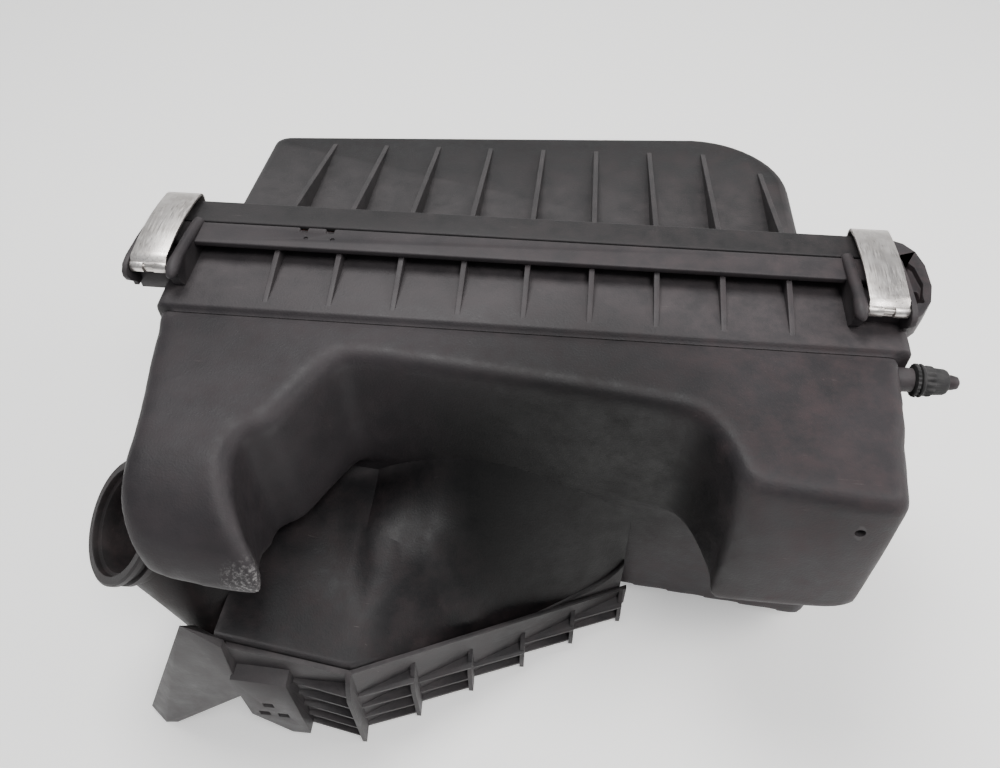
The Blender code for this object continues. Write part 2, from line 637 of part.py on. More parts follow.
def make_outlet():
    z0 = LID_Z0 - 6.5
    tube = loft([on_z(disc(OUT_X, OUT_Y, r, 40), z) for z, r in
                 ((LID_Z0 + 2.0, OUT_R - 3.3), (z0 - 1.8, OUT_R - 3.3), (z0 - 1.8, OUT_R + 6.0),
                  (z0 - 4.0, OUT_R + 6.0), (z0 - 4.0, OUT_R - 2.0), (BENCH_Z + 2.0, OUT_R - 2.0),
                  (BENCH_Z + 1.6, OUT_R - 3.0))])
    cut(tube, loft([on_z(disc(OUT_X, OUT_Y, OUT_R - 5.4, 40), z) for z in (-200.0, -120.0)]))
    gasket = loft([on_z(disc(OUT_X, OUT_Y, OUT_R + 5.6, 40), z) for z in (z0 - GAP, z0 - 1.5)])
    cut(gasket, loft([on_z(disc(OUT_X, OUT_Y, OUT_R - 2.9, 40), z) for z in (z0 - 5.0, z0 + 5.0)]))
    for x, y in screw_spots():
        cut(gasket, loft([on_z(disc(x, y, 2.1, 14), z) for z in (z0 - 6.0, z0 + 3.0)]))
    piece(gasket, "outlet_seal", material("rubber", (0.03, 0.03, 0.03, 1.0), 0.8, 0.0))
    for x, y in screw_spots():
        cut(tube, loft([on_z(disc(x, y, 2.1, 14), z) for z in (z0 - 6.0, z0)]))
    return tube


def finish():
    lo = Vector((1e9, 1e9, 1e9))
    hi = -lo
    for obj, pivot in PIECES.values():
        for v in obj.data.vertices:
            for k in range(3):
                lo[k] = min(lo[k], v.co[k])
                hi[k] = max(hi[k], v.co[k])
    shift = Vector((-(lo.x + hi.x) / 2, -(lo.y + hi.y) / 2, -lo.z))
    SHIFT[:] = list(shift)
    for obj, pivot in PIECES.values():
        obj.data.transform(Matrix.Translation(shift))
        if pivot:
            here = Vector(pivot) * MM + shift
            obj.data.transform(Matrix.Translation(-here))
            obj.location = here
    print("shift mm", [round(c / MM, 4) for c in shift])
    print("size mm", [round((b - a) / MM, 2) for a, b in zip(lo, hi)])
    for name, (obj, pivot) in PIECES.items():
        print(name, len(obj.data.polygons))
    print("total", sum(len(o.data.polygons) for o, p in PIECES.values()))


def main():
    for obj in list(bpy.data.objects):
        bpy.data.objects.remove(obj)
    make_case()
    make_duct()
    make_tray()
    piece(make_neck(), "intake_neck", material("neck_plastic", PLASTIC, 0.5, 0.0))
    lid = make_lid()
    outlet = make_outlet()
    screws(lid)
    piece(lid, "upper_cover", material("cover_plastic", PLASTIC, 0.5, 0.0), True,
          (0.0, HINGE_Y, HINGE_Z))
    piece(outlet, "outlet_duct", material("outlet_plastic", PLASTIC, 0.5, 0.0))
    make_element()
    make_clip(CLIP_XS[0], "left")
    make_clip(CLIP_XS[1], "right")
    make_grommet()
    finish()


if __name__ == "__main__":
    main()
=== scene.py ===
"""Air filter housing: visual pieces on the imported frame."""
import math
from contextlib import contextmanager
from itertools import product

import bmesh
import bpy
import numpy as np
from bpy.props import FloatProperty, FloatVectorProperty, IntProperty, PointerProperty, StringProperty
from mathutils import Matrix, Vector


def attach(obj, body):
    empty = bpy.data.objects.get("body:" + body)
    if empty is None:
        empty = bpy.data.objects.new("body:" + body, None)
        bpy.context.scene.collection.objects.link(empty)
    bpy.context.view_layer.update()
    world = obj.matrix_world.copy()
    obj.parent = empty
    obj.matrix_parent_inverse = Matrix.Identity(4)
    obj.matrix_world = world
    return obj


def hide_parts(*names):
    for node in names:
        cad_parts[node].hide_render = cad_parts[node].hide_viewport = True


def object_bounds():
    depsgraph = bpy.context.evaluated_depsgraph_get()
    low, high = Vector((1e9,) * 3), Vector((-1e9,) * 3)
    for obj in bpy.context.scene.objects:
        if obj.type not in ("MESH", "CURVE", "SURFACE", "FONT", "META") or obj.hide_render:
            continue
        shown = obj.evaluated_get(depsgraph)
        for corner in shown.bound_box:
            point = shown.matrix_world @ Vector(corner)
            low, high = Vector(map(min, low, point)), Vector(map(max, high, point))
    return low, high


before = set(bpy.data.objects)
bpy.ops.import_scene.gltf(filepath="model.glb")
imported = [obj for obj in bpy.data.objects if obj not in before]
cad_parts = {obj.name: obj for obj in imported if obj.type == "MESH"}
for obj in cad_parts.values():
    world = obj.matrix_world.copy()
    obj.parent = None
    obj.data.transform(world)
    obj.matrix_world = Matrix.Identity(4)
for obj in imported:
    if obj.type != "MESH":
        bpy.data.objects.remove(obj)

bl_info = {
    "name": "Air Filter Housing",
    "version": (1, 0, 0),
    "blender": (4, 5, 0),
    "location": "View3D > Sidebar > Air Box",
    "description": "Builds the moulded air filter housing, its fittings and a studio stage",
    "category": "Object",
}

CAD_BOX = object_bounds()
MM = 0.001
# Working lengths are in millimetres from the parting plane (Y) and the collar's front face (Z).
ORIGIN = Vector((CAD_BOX[1].x / MM - 187.5, CAD_BOX[1].y / MM - 121.5, CAD_BOX[0].z / MM + 176.0))
COLLAR_X, DEPTH = 166.0, -165.0
RIM = (-178.0, 167.0, -168.0, 10.0)
FLOOR_Y, FLOOR_TILT = -76.5, -0.075
PITCH, GUSSETS = 29.0, 9
MOUTH, MOUTH_DIR, MOUTH_R = (-170.0, -126.0, -56.0), (-0.60, -0.35, 0.72), 28.0
NECK_IN, NECK_RY, NECK_RZ = (-121.6, -126.0, -117.0), 36.0, 29.0
TRAY_Y, TRAY_T, WEB_OUT, WEB_X0, WEB_PITCH, WEBS = -164.5, 2.4, 7.5, -67.0, 25.0, 6
CLIP_XS, CLIP_W, PIN_Y, PIN_Z = (-168.5, 153.5), 16.4, -33.5, 10.5
STUD_Y, STUD_Z = -50.5, -13.0
HINGE_Y, HINGE_Z, HINGE_XS = -4.0, -171.0, (-95.0, 95.0)
LOOP_Z = -5.0
SHELL_WALL, SHELL_TOP = 5.5, -46.4


def rgb(code):
    """Hex sRGB colour to linear RGBA."""
    out = []
    for i in (0, 2, 4):
        c = int(code[i:i + 2], 16) / 255.0
        out.append(c / 12.92 if c <= 0.04045 else ((c + 0.055) / 1.055) ** 2.4)
    return (*out, 1.0)


# ---------------------------------------------------------------- mesh helpers
def new_object(name, points, faces):
    mesh = bpy.data.meshes.new(name)
    shifted = (np.asarray(points, dtype=float).reshape(-1, 3) + np.array(ORIGIN)) * MM
    mesh.from_pydata([tuple(p) for p in shifted], [], faces)
    obj = bpy.data.objects.new(name, mesh)
    bpy.context.scene.collection.objects.link(obj)
    return obj


@contextmanager
def edited(obj):
    """The object's mesh as a bmesh, written back afterwards."""
    bm = bmesh.new()
    bm.from_mesh(obj.data)
    yield bm
    bm.to_mesh(obj.data)
    bm.free()


def tidy(obj, merge=0.000004):
    with edited(obj) as bm:
        bmesh.ops.remove_doubles(bm, verts=bm.verts, dist=merge)
        bmesh.ops.recalc_face_normals(bm, faces=bm.faces)
    return obj


def shade(obj, degrees=32.0):
    """Smooth faces with the sharp edges kept."""
    limit = math.radians(degrees)
    with edited(obj) as bm:
        for edge in bm.edges:
            edge.smooth = len(edge.link_faces) == 2 and edge.calc_face_angle(0.0) < limit
        for face in bm.faces:
            face.smooth = True
    return obj


def loft(rings, name="tool"):
    count = len(rings[0])
    points = [p for ring in rings for p in ring]
    faces = [list(range(count)), list(range(len(points) - count, len(points)))]
    for k in range(len(rings) - 1):
        for i in range(count):
            j = (i + 1) % count
            faces.append([k * count + i, k * count + j, k * count + count + j, k * count + count + i])
    return tidy(new_object(name, points, faces))


def turns(count):
    """Angles of one full turn in equal steps."""
    return [2.0 * math.pi * i / count for i in range(count)]


def quarter(cu, cv, radius, start, segments, first=0):
    """Points of a quarter circle that starts at an angle in degrees."""
    angles = [math.radians(start + 90.0 * i / segments) for i in range(first, segments + 1)]
    return [(cu + radius * math.cos(a), cv + radius * math.sin(a)) for a in angles]


def rounded(u0, u1, v0, v1, radius, segments=6):
    r = max(radius, 0.05)
    out = []
    for u, v, su, sv, start in ((u1, v1, -1, -1, 0), (u0, v1, 1, -1, 90), (u0, v0, 1, 1, 180), (u1, v0, -1, 1, 270)):
        out += quarter(u + su * r, v + sv * r, r, start, segments)
    return out


def disc(cu, cv, radius, segments=32):
    return [(cu + radius * math.cos(a), cv + radius * math.sin(a)) for a in turns(segments)]


def on_x(shape, x):
    return [(x, u, v) for u, v in shape]


def on_y(shape, y):
    return [(u, y, v) for u, v in shape]


def on_z(shape, z):
    return [(u, v, z) for u, v in shape]


def prism_x(shape, x0, x1):
    return loft([on_x(shape, x) for x in (x0, x1)])


def prism_z(shape, z0, z1):
    return loft([on_z(shape, z) for z in (z0, z1)])


def block(x0, x1, y0, y1, z0, z1):
    return loft([on_z([(x0, y0), (x1, y0), (x1, y1), (x0, y1)], z) for z in (z0, z1)])


def bake(obj):
    """Apply the object's modifiers to a plain mesh."""
    graph = bpy.context.evaluated_depsgraph_get()
    mesh = bpy.data.meshes.new_from_object(obj.evaluated_get(graph))
    old = obj.data
    obj.modifiers.clear()
    obj.data = mesh
    bpy.data.meshes.remove(old)
    return obj


def remove(obj):
    mesh = obj.data
    bpy.data.objects.remove(obj)
    bpy.data.meshes.remove(mesh)


def boolean(target, tool, operation):
    mod = target.modifiers.new("bool", "BOOLEAN")
    mod.operation = operation
    mod.solver = "EXACT"
    mod.object = tool
    bake(target)
    remove(tool)
    return target


def join(target, *tools):
    for tool in tools:
        boolean(target, tool, "UNION")
    return target


def cut(target, *tools):
    for tool in tools:
        boolean(target, tool, "DIFFERENCE")
    return target


def soften(obj, width, segments=3, angle=30.0):
    """Round the sharp edges of a moulded or pressed piece."""
    with edited(obj) as bm:
        bmesh.ops.remove_doubles(bm, verts=bm.verts, dist=0.00002)
        bmesh.ops.dissolve_limit(bm, angle_limit=math.radians(0.5), verts=bm.verts, edges=bm.edges,
                                 delimit={"NORMAL"})
    mod = obj.modifiers.new("bevel", "BEVEL")
    mod.width = width * MM
    mod.segments = segments
    mod.limit_method = "ANGLE"
    mod.angle_limit = math.radians(angle)
    mod.use_clamp_overlap = True
    mod.harden_normals = False
    bake(obj)
    return shade(obj, 40.0)


def settle(obj, name, mat, body, stands_for=()):
    """Name the finished piece, give it its material, hang it on its body and hide the frame parts that it stands
    for.
    """
    obj.name = name
    obj.data.name = name
    obj.data.materials.clear()
    obj.data.materials.append(mat)
    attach(obj, body)
    if stands_for:
        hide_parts(*stands_for)
    return obj


# ---------------------------------------------------------------- distance-field shells
def round_max(a, b, r):
    u = np.maximum(r + a, 0.0)
    v = np.maximum(r + b, 0.0)
    return np.minimum(-r, np.maximum(a, b)) + np.sqrt(u * u + v * v)


def round_min(a, b, r):
    u = np.maximum(r - a, 0.0)
    v = np.maximum(r - b, 0.0)
    return np.maximum(r, np.minimum(a, b)) - np.sqrt(u * u + v * v)


def surface_net(field, low, high, step):
    """Closed surface of field(x, y, z) < 0 on a regular grid, one vertex in each crossed cell."""
    axes = [np.arange(a, b + step, step) for a, b in zip(low, high)]
    gx, gy, gz = np.meshgrid(*axes, indexing="ij")
    val = field(gx, gy, gz)
    inside = val < 0.0
    shape = tuple(n - 1 for n in inside.shape)
    corner = np.zeros(shape, dtype=np.int8)
    for dx, dy, dz in product((0, 1), repeat=3):
        corner += inside[dx:dx + shape[0], dy:dy + shape[1], dz:dz + shape[2]]
    active = (corner > 0) & (corner < 8)
    index = -np.ones(shape, dtype=np.int64)
    cells = np.argwhere(active)
    index[active] = np.arange(len(cells))
    total = np.zeros((len(cells), 3))
    hits = np.zeros(len(cells))
    ci, cj, ck = cells.T
    for axis, p, q in product(range(3), (0, 1), (0, 1)):
        off = [p, q]
        off.insert(axis, 0)
        i, j, k = ci + off[0], cj + off[1], ck + off[2]
        far = [i, j, k]
        far[axis] = far[axis] + 1
        a, b = val[i, j, k], val[tuple(far)]
        cross = (a < 0) != (b < 0)
        t = np.where(cross, a / np.where(cross, a - b, 1.0), 0.0)
        pos = np.array(off, dtype=float)[None, :].repeat(len(cells), 0)
        pos[:, axis] += t
        total += np.where(cross[:, None], pos, 0.0)
        hits += cross
    verts = (cells + total / hits[:, None]) * step + np.array([a[0] for a in axes])
    faces = []
    for axis in range(3):
        u, v = [a for a in range(3) if a != axis]
        if axis == 1:
            u, v = v, u
        size = list(inside.shape)
        near = [slice(0, n) for n in size]
        near[axis] = slice(0, size[axis] - 1)
        near[u] = slice(1, size[u] - 1)
        near[v] = slice(1, size[v] - 1)
        far = list(near)
        far[axis] = slice(1, size[axis])
        a, b = inside[tuple(near)], inside[tuple(far)]
        for start, flip in ((a & ~b, False), (~a & b, True)):
            spot = np.argwhere(start)
            spot[:, u] += 1
            spot[:, v] += 1
            quad = []
            for du, dv in ((0, 0), (1, 0), (1, 1), (0, 1)):
                at = spot.copy()
                at[:, u] -= du
                at[:, v] -= dv
                quad.append(index[at[:, 0], at[:, 1], at[:, 2]])
            quad = np.stack(quad, axis=1)
            faces.append(quad[:, ::-1] if flip else quad)
    return verts, np.concatenate(faces)


def field_object(name, field, low, high, step):
    verts, faces = surface_net(field, low, high, step)
    obj = new_object(name, verts, faces.tolist())
    with edited(obj) as bm:
        bmesh.ops.recalc_face_normals(bm, faces=bm.faces)
        bmesh.ops.smooth_vert(bm, verts=bm.verts, factor=0.45, use_axis_x=True, use_axis_y=True,
                              use_axis_z=True)
    return obj


# ---------------------------------------------------------------- shapes of this housing
def duct_floor(x):
    return -67.0 - 0.0069 * (max(x, -70.0) + 12.0) ** 2


def duct_front(x):
    return float(np.interp(x, (-124.0, -95.0, -62.0, -44.0, -20.0, 6.0, 58.0),
                           (-84.0, -95.0, -108.0, -124.0, -139.0, -149.0, -152.0)))


def tray_low(x):
    return TRAY_Y + max(x - WEB_X0, 0.0) * 0.61


def neck_frame():
    mouth, way = Vector(MOUTH), Vector(MOUTH_DIR).normalized()
    across = way.cross(Vector((0.0, 1.0, 0.0))).normalized()
    return mouth, way, across, across.cross(way).normalized()


def neck_rings(steps, grow, segments=72, tail=6.0, bends=7):
    """Round rings down the mouth's lips, then a bend to the flat oval at the duct."""
    mouth, way, across, along = neck_frame()
    turn = turns(segments)
    rings = []
    for back, radius in steps:
        rings.append([mouth - way * back + (along * math.cos(a) + across * math.sin(a)) * (radius + grow)
                      for a in turn])
    final = [Vector(NECK_IN) + Vector((0.0, (NECK_RY + grow) * math.cos(a), -(NECK_RZ + grow) * math.sin(a)))
             for a in turn]
    last = rings[-1]
    for n in range(1, bends):
        k = n / bends
        s = k * k * (3 - 2 * k)
        rings.append([p.lerp(q, 0.5 * k + 0.5 * s) for p, q in zip(last, final)])
    rings.append(final)
    rings.append([p + Vector((tail, 0.0, 0.0)) for p in final])
    return [[tuple(p) for p in ring] for ring in rings]


NECK_STEPS = ((0.0, MOUTH_R - 1.0), (0.8, MOUTH_R), (3.0, MOUTH_R), (3.6, MOUTH_R - 2.2), (6.2, MOUTH_R - 2.2),
              (6.8, MOUTH_R - 0.6), (9.4, MOUTH_R - 0.6), (10.2, MOUTH_R - 2.2), (13.5, MOUTH_R - 2.2))


# front outline of the case below its ledge: left side, lobe, scoop rim, sump, right side
OUTLINE = ((-163.5, -40), (-163.5, -48), (-160, -72), (-155, -95), (-151.4, -117), (-150.5, -134), (-148.5, -142),
           (-145, -150), (-141, -155), (-134, -157.8), (-124.7, -159.2), (-115.3, -160.6), (-105, -162),
           (-97, -162.8), (-93, -162), (-92, -158.5), (-95.5, -152), (-99.5, -146), (-104.3, -136), (-107.5, -124),
           (-107.6, -114.5), (-105.5, -110), (-101.5, -107.4), (-97.6, -105), (-94, -100), (-87.5, -87),
           (-79.5, -72.5), (-75.5, -68.4), (-70, -66.6), (-60, -66.2), (-30.7, -70), (4.6, -73.7), (39, -77.2),
           (60, -80.4), (70, -83), (76, -86.8), (80.5, -92), (85, -101.5), (88, -111), (90, -118), (89, -124),
           (88, -130), (150.5, -130), (153.4, -112), (158, -72), (160.5, -48), (160.5, -40))


def softened(points, rounds=2):
    """Corner-cut a closed outline so that its bends are round."""
    pts = np.array(points, dtype=float)
    for n in range(rounds):
        after = np.roll(pts, -1, axis=0)
        pts = np.stack([pts * 0.75 + after * 0.25, pts * 0.25 + after * 0.75], axis=1).reshape(-1, 2)
    return pts


def outline_distance(points, x, y):
    """Signed distance in the X-Y plane to a closed outline, negative inside."""
    best = np.full(x.shape, 1e9)
    inside = np.zeros(x.shape, dtype=bool)
    for (ax, ay), (bx, by) in zip(points, np.roll(points, -1, axis=0)):
        dx, dy = bx - ax, by - ay
        t = np.clip(((x - ax) * dx + (y - ay) * dy) / (dx * dx + dy * dy + 1e-9), 0.0, 1.0)
        best = np.minimum(best, (x - ax - t * dx) ** 2 + (y - ay - t * dy) ** 2)
        if ay != by:
            inside ^= ((ay > y) != (by > y)) & (x < ax + dx * (y - ay) / dy)
    return np.where(inside, -1.0, 1.0) * np.sqrt(best)


def case_field(x, y, z):
    """Distance-like field of the case below its ledge: front block with lobe and sump, and the tray behind."""
    flat = outline_distance(softened(OUTLINE), x[:, :, 0], y[:, :, 0])[:, :, None]
    left = np.interp(-y, (48, 72, 95, 117, 141), (-163.5, -160, -155, -151.4, -148.5)) - x
    right = x - np.interp(-y, (48, 72, 112, 130), (160.5, 158, 153.4, 150.5))
    d = np.clip((y + 54.0) / -90.0, 0.0, 1.2)
    down = np.clip(-118.0 - y, 0.0, 44.8)
    front = z + 2.2 + 1.4 * d + (45.0 - np.sqrt(2025.0 - down * down)) * np.clip((-55.0 - x) / 20.0, 0.0, 1.0)
    block_ = round_max(flat, front, 8.0)
    foot = -119.5 - 0.1 * (x - 118.0)
    foot = foot + (-130.0 - foot) * np.clip((-3.0 - z) / 79.0, 0.0, 1.0)
    under = np.where(x > 72.0, np.maximum(foot - y, -30.0), -30.0)
    block_ = round_max(block_, under, 7.0)
    heel = 37.0 * np.clip((-120.0 - y) / 36.0, 0.0, 1.0) * np.clip((-55.0 - x) / 20.0, 0.0, 1.0)
    block_ = round_max(block_, (heel - 80.0 - z) * 0.8, 4.0)
    sides = np.maximum(left, right)
    tray = round_max(round_max(sides, -73.2 - 0.105 * x - y, 8.0), front, 8.0)
    out = round_min(block_, np.maximum(tray, -163.0 - z), 4.0)
    return np.maximum(out, np.maximum(np.maximum(sides, front), -163.0 - z))


def neck_field(x, y, z):
    """Distance to the neck's bent centre line less its radius."""
    mouth, way, across, along = neck_frame()
    best = np.full(x.shape, 1e9)
    last = mouth - way * 13.5
    for n in range(0, 17):
        k = n / 16.0
        s = k * k * (3 - 2 * k)
        c = last.lerp(Vector(NECK_IN), 0.5 * k + 0.5 * s)
        r = (MOUTH_R - 2.2) * (1 - k) + (NECK_RZ + 2.0) * k
        best = np.minimum(best, np.sqrt((x - c.x) ** 2 + (y - c.y) ** 2 + (z - c.z) ** 2) - r)
    for n in range(0, 6):
        c = mouth - way * (13.5 - 4.0 * n)
        best = np.minimum(best, np.sqrt((x - c.x) ** 2 + (y - c.y) ** 2 + (z - c.z) ** 2) - MOUTH_R - 0.6)
    return best


def case_shell_field(x, y, z):
    f = case_field(x, y, z)
    shell = np.maximum(np.maximum(f, -(f + SHELL_WALL)), y - SHELL_TOP)
    return np.maximum(shell, -neck_field(x, y, z))


# ---------------------------------------------------------------- repeated gussets
def add(tree, kind, links=(), **settings):
    """Add a node, set its settings and sockets, and link sockets: (input, node, output)."""
    node = tree.nodes.new(kind)
    for key, value in settings.items():
        if key.startswith("in_"):
            spot = key[3:]
            node.inputs[int(spot) if spot.isdigit() else spot.replace("_", " ")].default_value = value
        else:
            setattr(node, key, value)
    for spot, source, output in links:
        tree.links.new(source.outputs[output], node.inputs[spot])
    return node


def gusset_row_tree():
    """Geometry tree that repeats one gusset along X, each a little taller than the last."""
    tree = bpy.data.node_groups.new("gusset row", "GeometryNodeTree")
    face = tree.interface
    face.new_socket("Geometry", in_out="INPUT", socket_type="NodeSocketGeometry")
    for name, kind in (("Gusset", "NodeSocketObject"), ("Count", "NodeSocketInt"),
                       ("Pitch", "NodeSocketFloat"), ("Thickness", "NodeSocketFloat"),
                       ("Rise", "NodeSocketFloat"), ("First", "NodeSocketVector"),
                       ("Material", "NodeSocketMaterial")):
        face.new_socket(name, in_out="INPUT", socket_type=kind)
    face.new_socket("Geometry", in_out="OUTPUT", socket_type="NodeSocketGeometry")
    start = add(tree, "NodeGroupInput")
    offset = add(tree, "ShaderNodeCombineXYZ", [("X", start, "Pitch")])
    line = add(tree, "GeometryNodeMeshLine", [("Count", start, "Count"), ("Start Location", start, "First"),
                                              ("Offset", offset, 0)], mode="OFFSET")
    shape = add(tree, "GeometryNodeObjectInfo", [("Object", start, "Gusset")], transform_space="ORIGINAL")
    index = add(tree, "GeometryNodeInputIndex")
    rise = add(tree, "ShaderNodeMath", [(0, index, 0), (1, start, "Rise")], operation="MULTIPLY_ADD", in_2=1.0)
    size = add(tree, "ShaderNodeCombineXYZ", [("X", start, "Thickness"), ("Y", rise, 0)], in_Z=1.0)
    copies = add(tree, "GeometryNodeInstanceOnPoints", [("Points", line, 0), ("Instance", shape, "Geometry"),
                                                        ("Scale", size, 0)])
    real = add(tree, "GeometryNodeRealizeInstances", [("Geometry", copies, 0)])
    paint = add(tree, "GeometryNodeSetMaterial", [("Geometry", real, 0), ("Material", start, "Material")])
    add(tree, "NodeGroupOutput", [(0, paint, 0)])
    return tree


def gusset_row(name, outline, base_y, mat, count, rise=0.0, first_x=None):
    """One plain mesh of gussets; the outline is (y, z) pairs and the thickness runs along X."""
    pitch, thickness = sizes().gusset_pitch / MM, sizes().gusset_thickness / MM
    shape = prism_x([(y - base_y, z) for y, z in outline], -0.5, 0.5)
    shape.data.transform(Matrix.Translation(-ORIGIN * MM))
    with edited(shape) as bm:
        edges = [e for e in bm.edges if abs(e.verts[0].co.x - e.verts[1].co.x) < 1e-9]
        bmesh.ops.bevel(bm, geom=edges, offset=0.00016, segments=2, affect="EDGES", profile=0.5)
        bmesh.ops.recalc_face_normals(bm, faces=bm.faces)
    shape.data.materials.append(mat)
    holder = new_object(name, [], [])
    tree = gusset_row_tree()
    mod = holder.modifiers.new("row", "NODES")
    mod.node_group = tree
    x = -(count - 1) * pitch / 2.0 if first_x is None else first_x
    first = (ORIGIN + Vector((x, base_y, 0.0))) * MM
    values = {"Gusset": shape, "Count": count, "Pitch": pitch * MM, "Thickness": thickness, "Rise": rise,
              "First": tuple(first), "Material": mat}
    for item in tree.interface.items_tree:
        if item.in_out == "INPUT" and item.name in values:
            mod[item.identifier] = values[item.name]
    bake(holder)
    remove(shape)
    bpy.data.node_groups.remove(tree)
    return shade(holder, 35.0)


# ---------------------------------------------------------------- finishes
def finish(name, shader, paint, *values, **more):
    """The named material; paint() adds its pattern when it is first asked for."""
    mat = bpy.data.materials.get(name)
    if mat is None:
        mat = bpy.data.materials.new(name)
        mat.use_nodes = True
        tree = mat.node_tree
        tree.nodes.clear()
        bsdf = add(tree, "ShaderNodeBsdfPrincipled", **shader)
        out = add(tree, "ShaderNodeOutputMaterial")
        tree.links.new(bsdf.outputs[0], out.inputs[0])
        paint(tree, bsdf, add(tree, "ShaderNodeTexCoord"), *values, **more)
    return mat


def wire(tree, bsdf, **nodes):
    """Link each node's colour, value or normal to the shader socket of that name."""
    for socket, node in nodes.items():
        output = 2 if node.bl_idname == "ShaderNodeMix" else 0
        tree.links.new(node.outputs[output], bsdf.inputs[socket.replace("_", " ")])


def noise(tree, source, output, scale, detail, roughness=0.5):
    return add(tree, "ShaderNodeTexNoise", [("Vector", source, output)], in_Scale=scale, in_Detail=detail,
               in_Roughness=roughness)


def spread(tree, source, output, low, high, start, end):
    """Values from low to high mapped to start to end."""
    return add(tree, "ShaderNodeMapRange", [("Value", source, output)], in_1=low, in_2=high, in_3=start, in_4=end)


def times(tree, first, second):
    """Product of a node and another node or number."""
    if isinstance(second, float):
        return add(tree, "ShaderNodeMath", [(0, first, 0)], operation="MULTIPLY", in_1=second)
    return add(tree, "ShaderNodeMath", [(0, first, 0), (1, second, 0)], operation="MULTIPLY")


def coat(tree, amount, under, code):
    """A colour laid over another node's colour, or over a plain one, by an amount from 0 to 1."""
    if isinstance(under, str):
        return add(tree, "ShaderNodeMix", [(0, amount, 0)], data_type="RGBA", in_6=rgb(under), in_7=rgb(code))
    return add(tree, "ShaderNodeMix", [(0, amount, 0), (6, under, 2)], data_type="RGBA", in_7=rgb(code))


def relief(tree, height, strength, distance, *under):
    links = [("Height", height, 0)] + [("Normal", node, 0) for node in under]
    return add(tree, "ShaderNodeBump", links, in_Strength=strength, in_Distance=distance)


def stretched(tree, place, **mapping):
    return add(tree, "ShaderNodeMapping", [("Vector", place, "Object")], **mapping)


def away_from(tree, place, point):
    """Distance in metres from a point given in working millimetres."""
    spot = (ORIGIN + Vector(point)) * MM
    return add(tree, "ShaderNodeVectorMath", [(0, place, "Object")], operation="DISTANCE", in_1=tuple(spot))


def ramp(tree, source, output, stops):
    node = add(tree, "ShaderNodeValToRGB", [("Fac", source, output)])
    cells = node.color_ramp.elements
    while len(cells) < len(stops):
        cells.new(0.5)
    for cell, (at, value) in zip(cells, stops):
        cell.position = at
        cell.color = value if isinstance(value, tuple) else (value, value, value, 1.0)
    return node


MOULDED = {"in_IOR": 1.49, "in_Specular_IOR_Level": 0.26}


def moulded(tree, bsdf, place, base, light, rough=0.55, scratches=0.5, dusty=0.25, scuff=None, grime=None):
    """Injection-moulded black polypropylene: a spark-eroded satin grain, flow marks, dust and rubs, convex edges
    painted paler as part wear and part highlight, and where asked a dark patch of painted shade.
    """
    # the grain is 0.4 mm across in the tool; 0.9 mm here, so that it shows
    fine = noise(tree, place, "Object", 1000.0 / 0.9, 3.0)
    wide = noise(tree, place, "Object", 22.0, 6.0, 0.62)
    skin = coat(tree, ramp(tree, wide, 0, ((0.36, 0.0), (0.66, 1.0))), base, light)
    # dust lies in soft spots 5 to 20 mm wide, thicker towards the right end
    split = add(tree, "ShaderNodeSeparateXYZ", [(0, place, "Object")])
    ends = spread(tree, split, "X", -0.05, 0.18, 0.25, 1.0)
    spots = noise(tree, place, "Object", 85.0, 8.0, 0.7)
    film = ramp(tree, spots, 0, ((0.42, 0.0), (0.72, 1.0)))
    marked = coat(tree, times(tree, times(tree, film, ends), dusty), skin, colours().dust)
    # long thin rubs, 0.3 mm wide, from handling
    turn = stretched(tree, place, in_Rotation=(0.3, 0.5, 0.9), in_Scale=(45.0, 1100.0, 420.0))
    thin = ramp(tree, noise(tree, turn, 0, 1.0, 2.0), 0, ((0.70, 0.0), (0.80, 1.0)))
    where = ramp(tree, spots, 0, ((0.52, 0.0), (0.66, 1.0)))
    marked = coat(tree, times(tree, times(tree, thin, where), scratches), marked, "6a6664")
    # convex edges are painted a little paler, partly rubbed wear and partly a painted highlight along the edges,
    # broken up by the same patches
    edge = ramp(tree, add(tree, "ShaderNodeNewGeometry"), "Pointiness", ((0.51, 0.0), (0.56, 1.0)))
    marked = coat(tree, times(tree, times(tree, edge, spots), 0.55), marked, "5c595a")
    if scuff:
        # a dragged corner: chalky grey, torn in 1 to 3 mm flecks
        near = spread(tree, away_from(tree, place, scuff), "Value", 0.004, 0.014, 0.8, 0.0)
        flake = ramp(tree, noise(tree, place, "Object", 620.0, 6.0, 0.75), 0, ((0.50, 0.0), (0.60, 1.0)))
        marked = coat(tree, times(tree, near, flake), marked, "8a8887")
    if grime:
        # painted shade: a dark patch standing in for the scoop's shadow, full for 50 mm round a point and gone at 95
        # mm
        thick = spread(tree, away_from(tree, place, grime), "Value", 0.050, 0.095, 0.95, 0.0)
        marked = coat(tree, thick, marked, "040404")
    gloss = spread(tree, spots, 0, 0.3, 0.75, rough - 0.1, rough + 0.15)
    high = relief(tree, wide, 0.25, 0.0012, relief(tree, fine, 0.28, 0.0004))
    wire(tree, bsdf, Base_Color=marked, Roughness=gloss, Normal=high)


def brushed(tree, bsdf, place, base, rough, along):
    """Spring steel strip, brushed along its rolling direction, with light dirt and rubs."""
    # brush lines about 0.25 mm apart, drawn out 40 times longer
    size = {"X": (60.0, 2400.0, 2400.0), "Y": (2400.0, 60.0, 2400.0)}[along]
    lines = noise(tree, stretched(tree, place, in_Scale=size), 0, 1.0, 4.0)
    worn = ramp(tree, noise(tree, place, "Object", 160.0, 6.0), 0, ((0.38, 0.0), (0.68, 1.0)))
    tone = coat(tree, times(tree, worn, 0.35), coat(tree, lines, base, "f2efec"), "8a8078")
    gloss = spread(tree, lines, 0, 0.3, 0.7, rough - 0.08, rough + 0.16)
    wire(tree, bsdf, Base_Color=tone, Roughness=gloss, Normal=relief(tree, lines, 0.2, 0.0001))


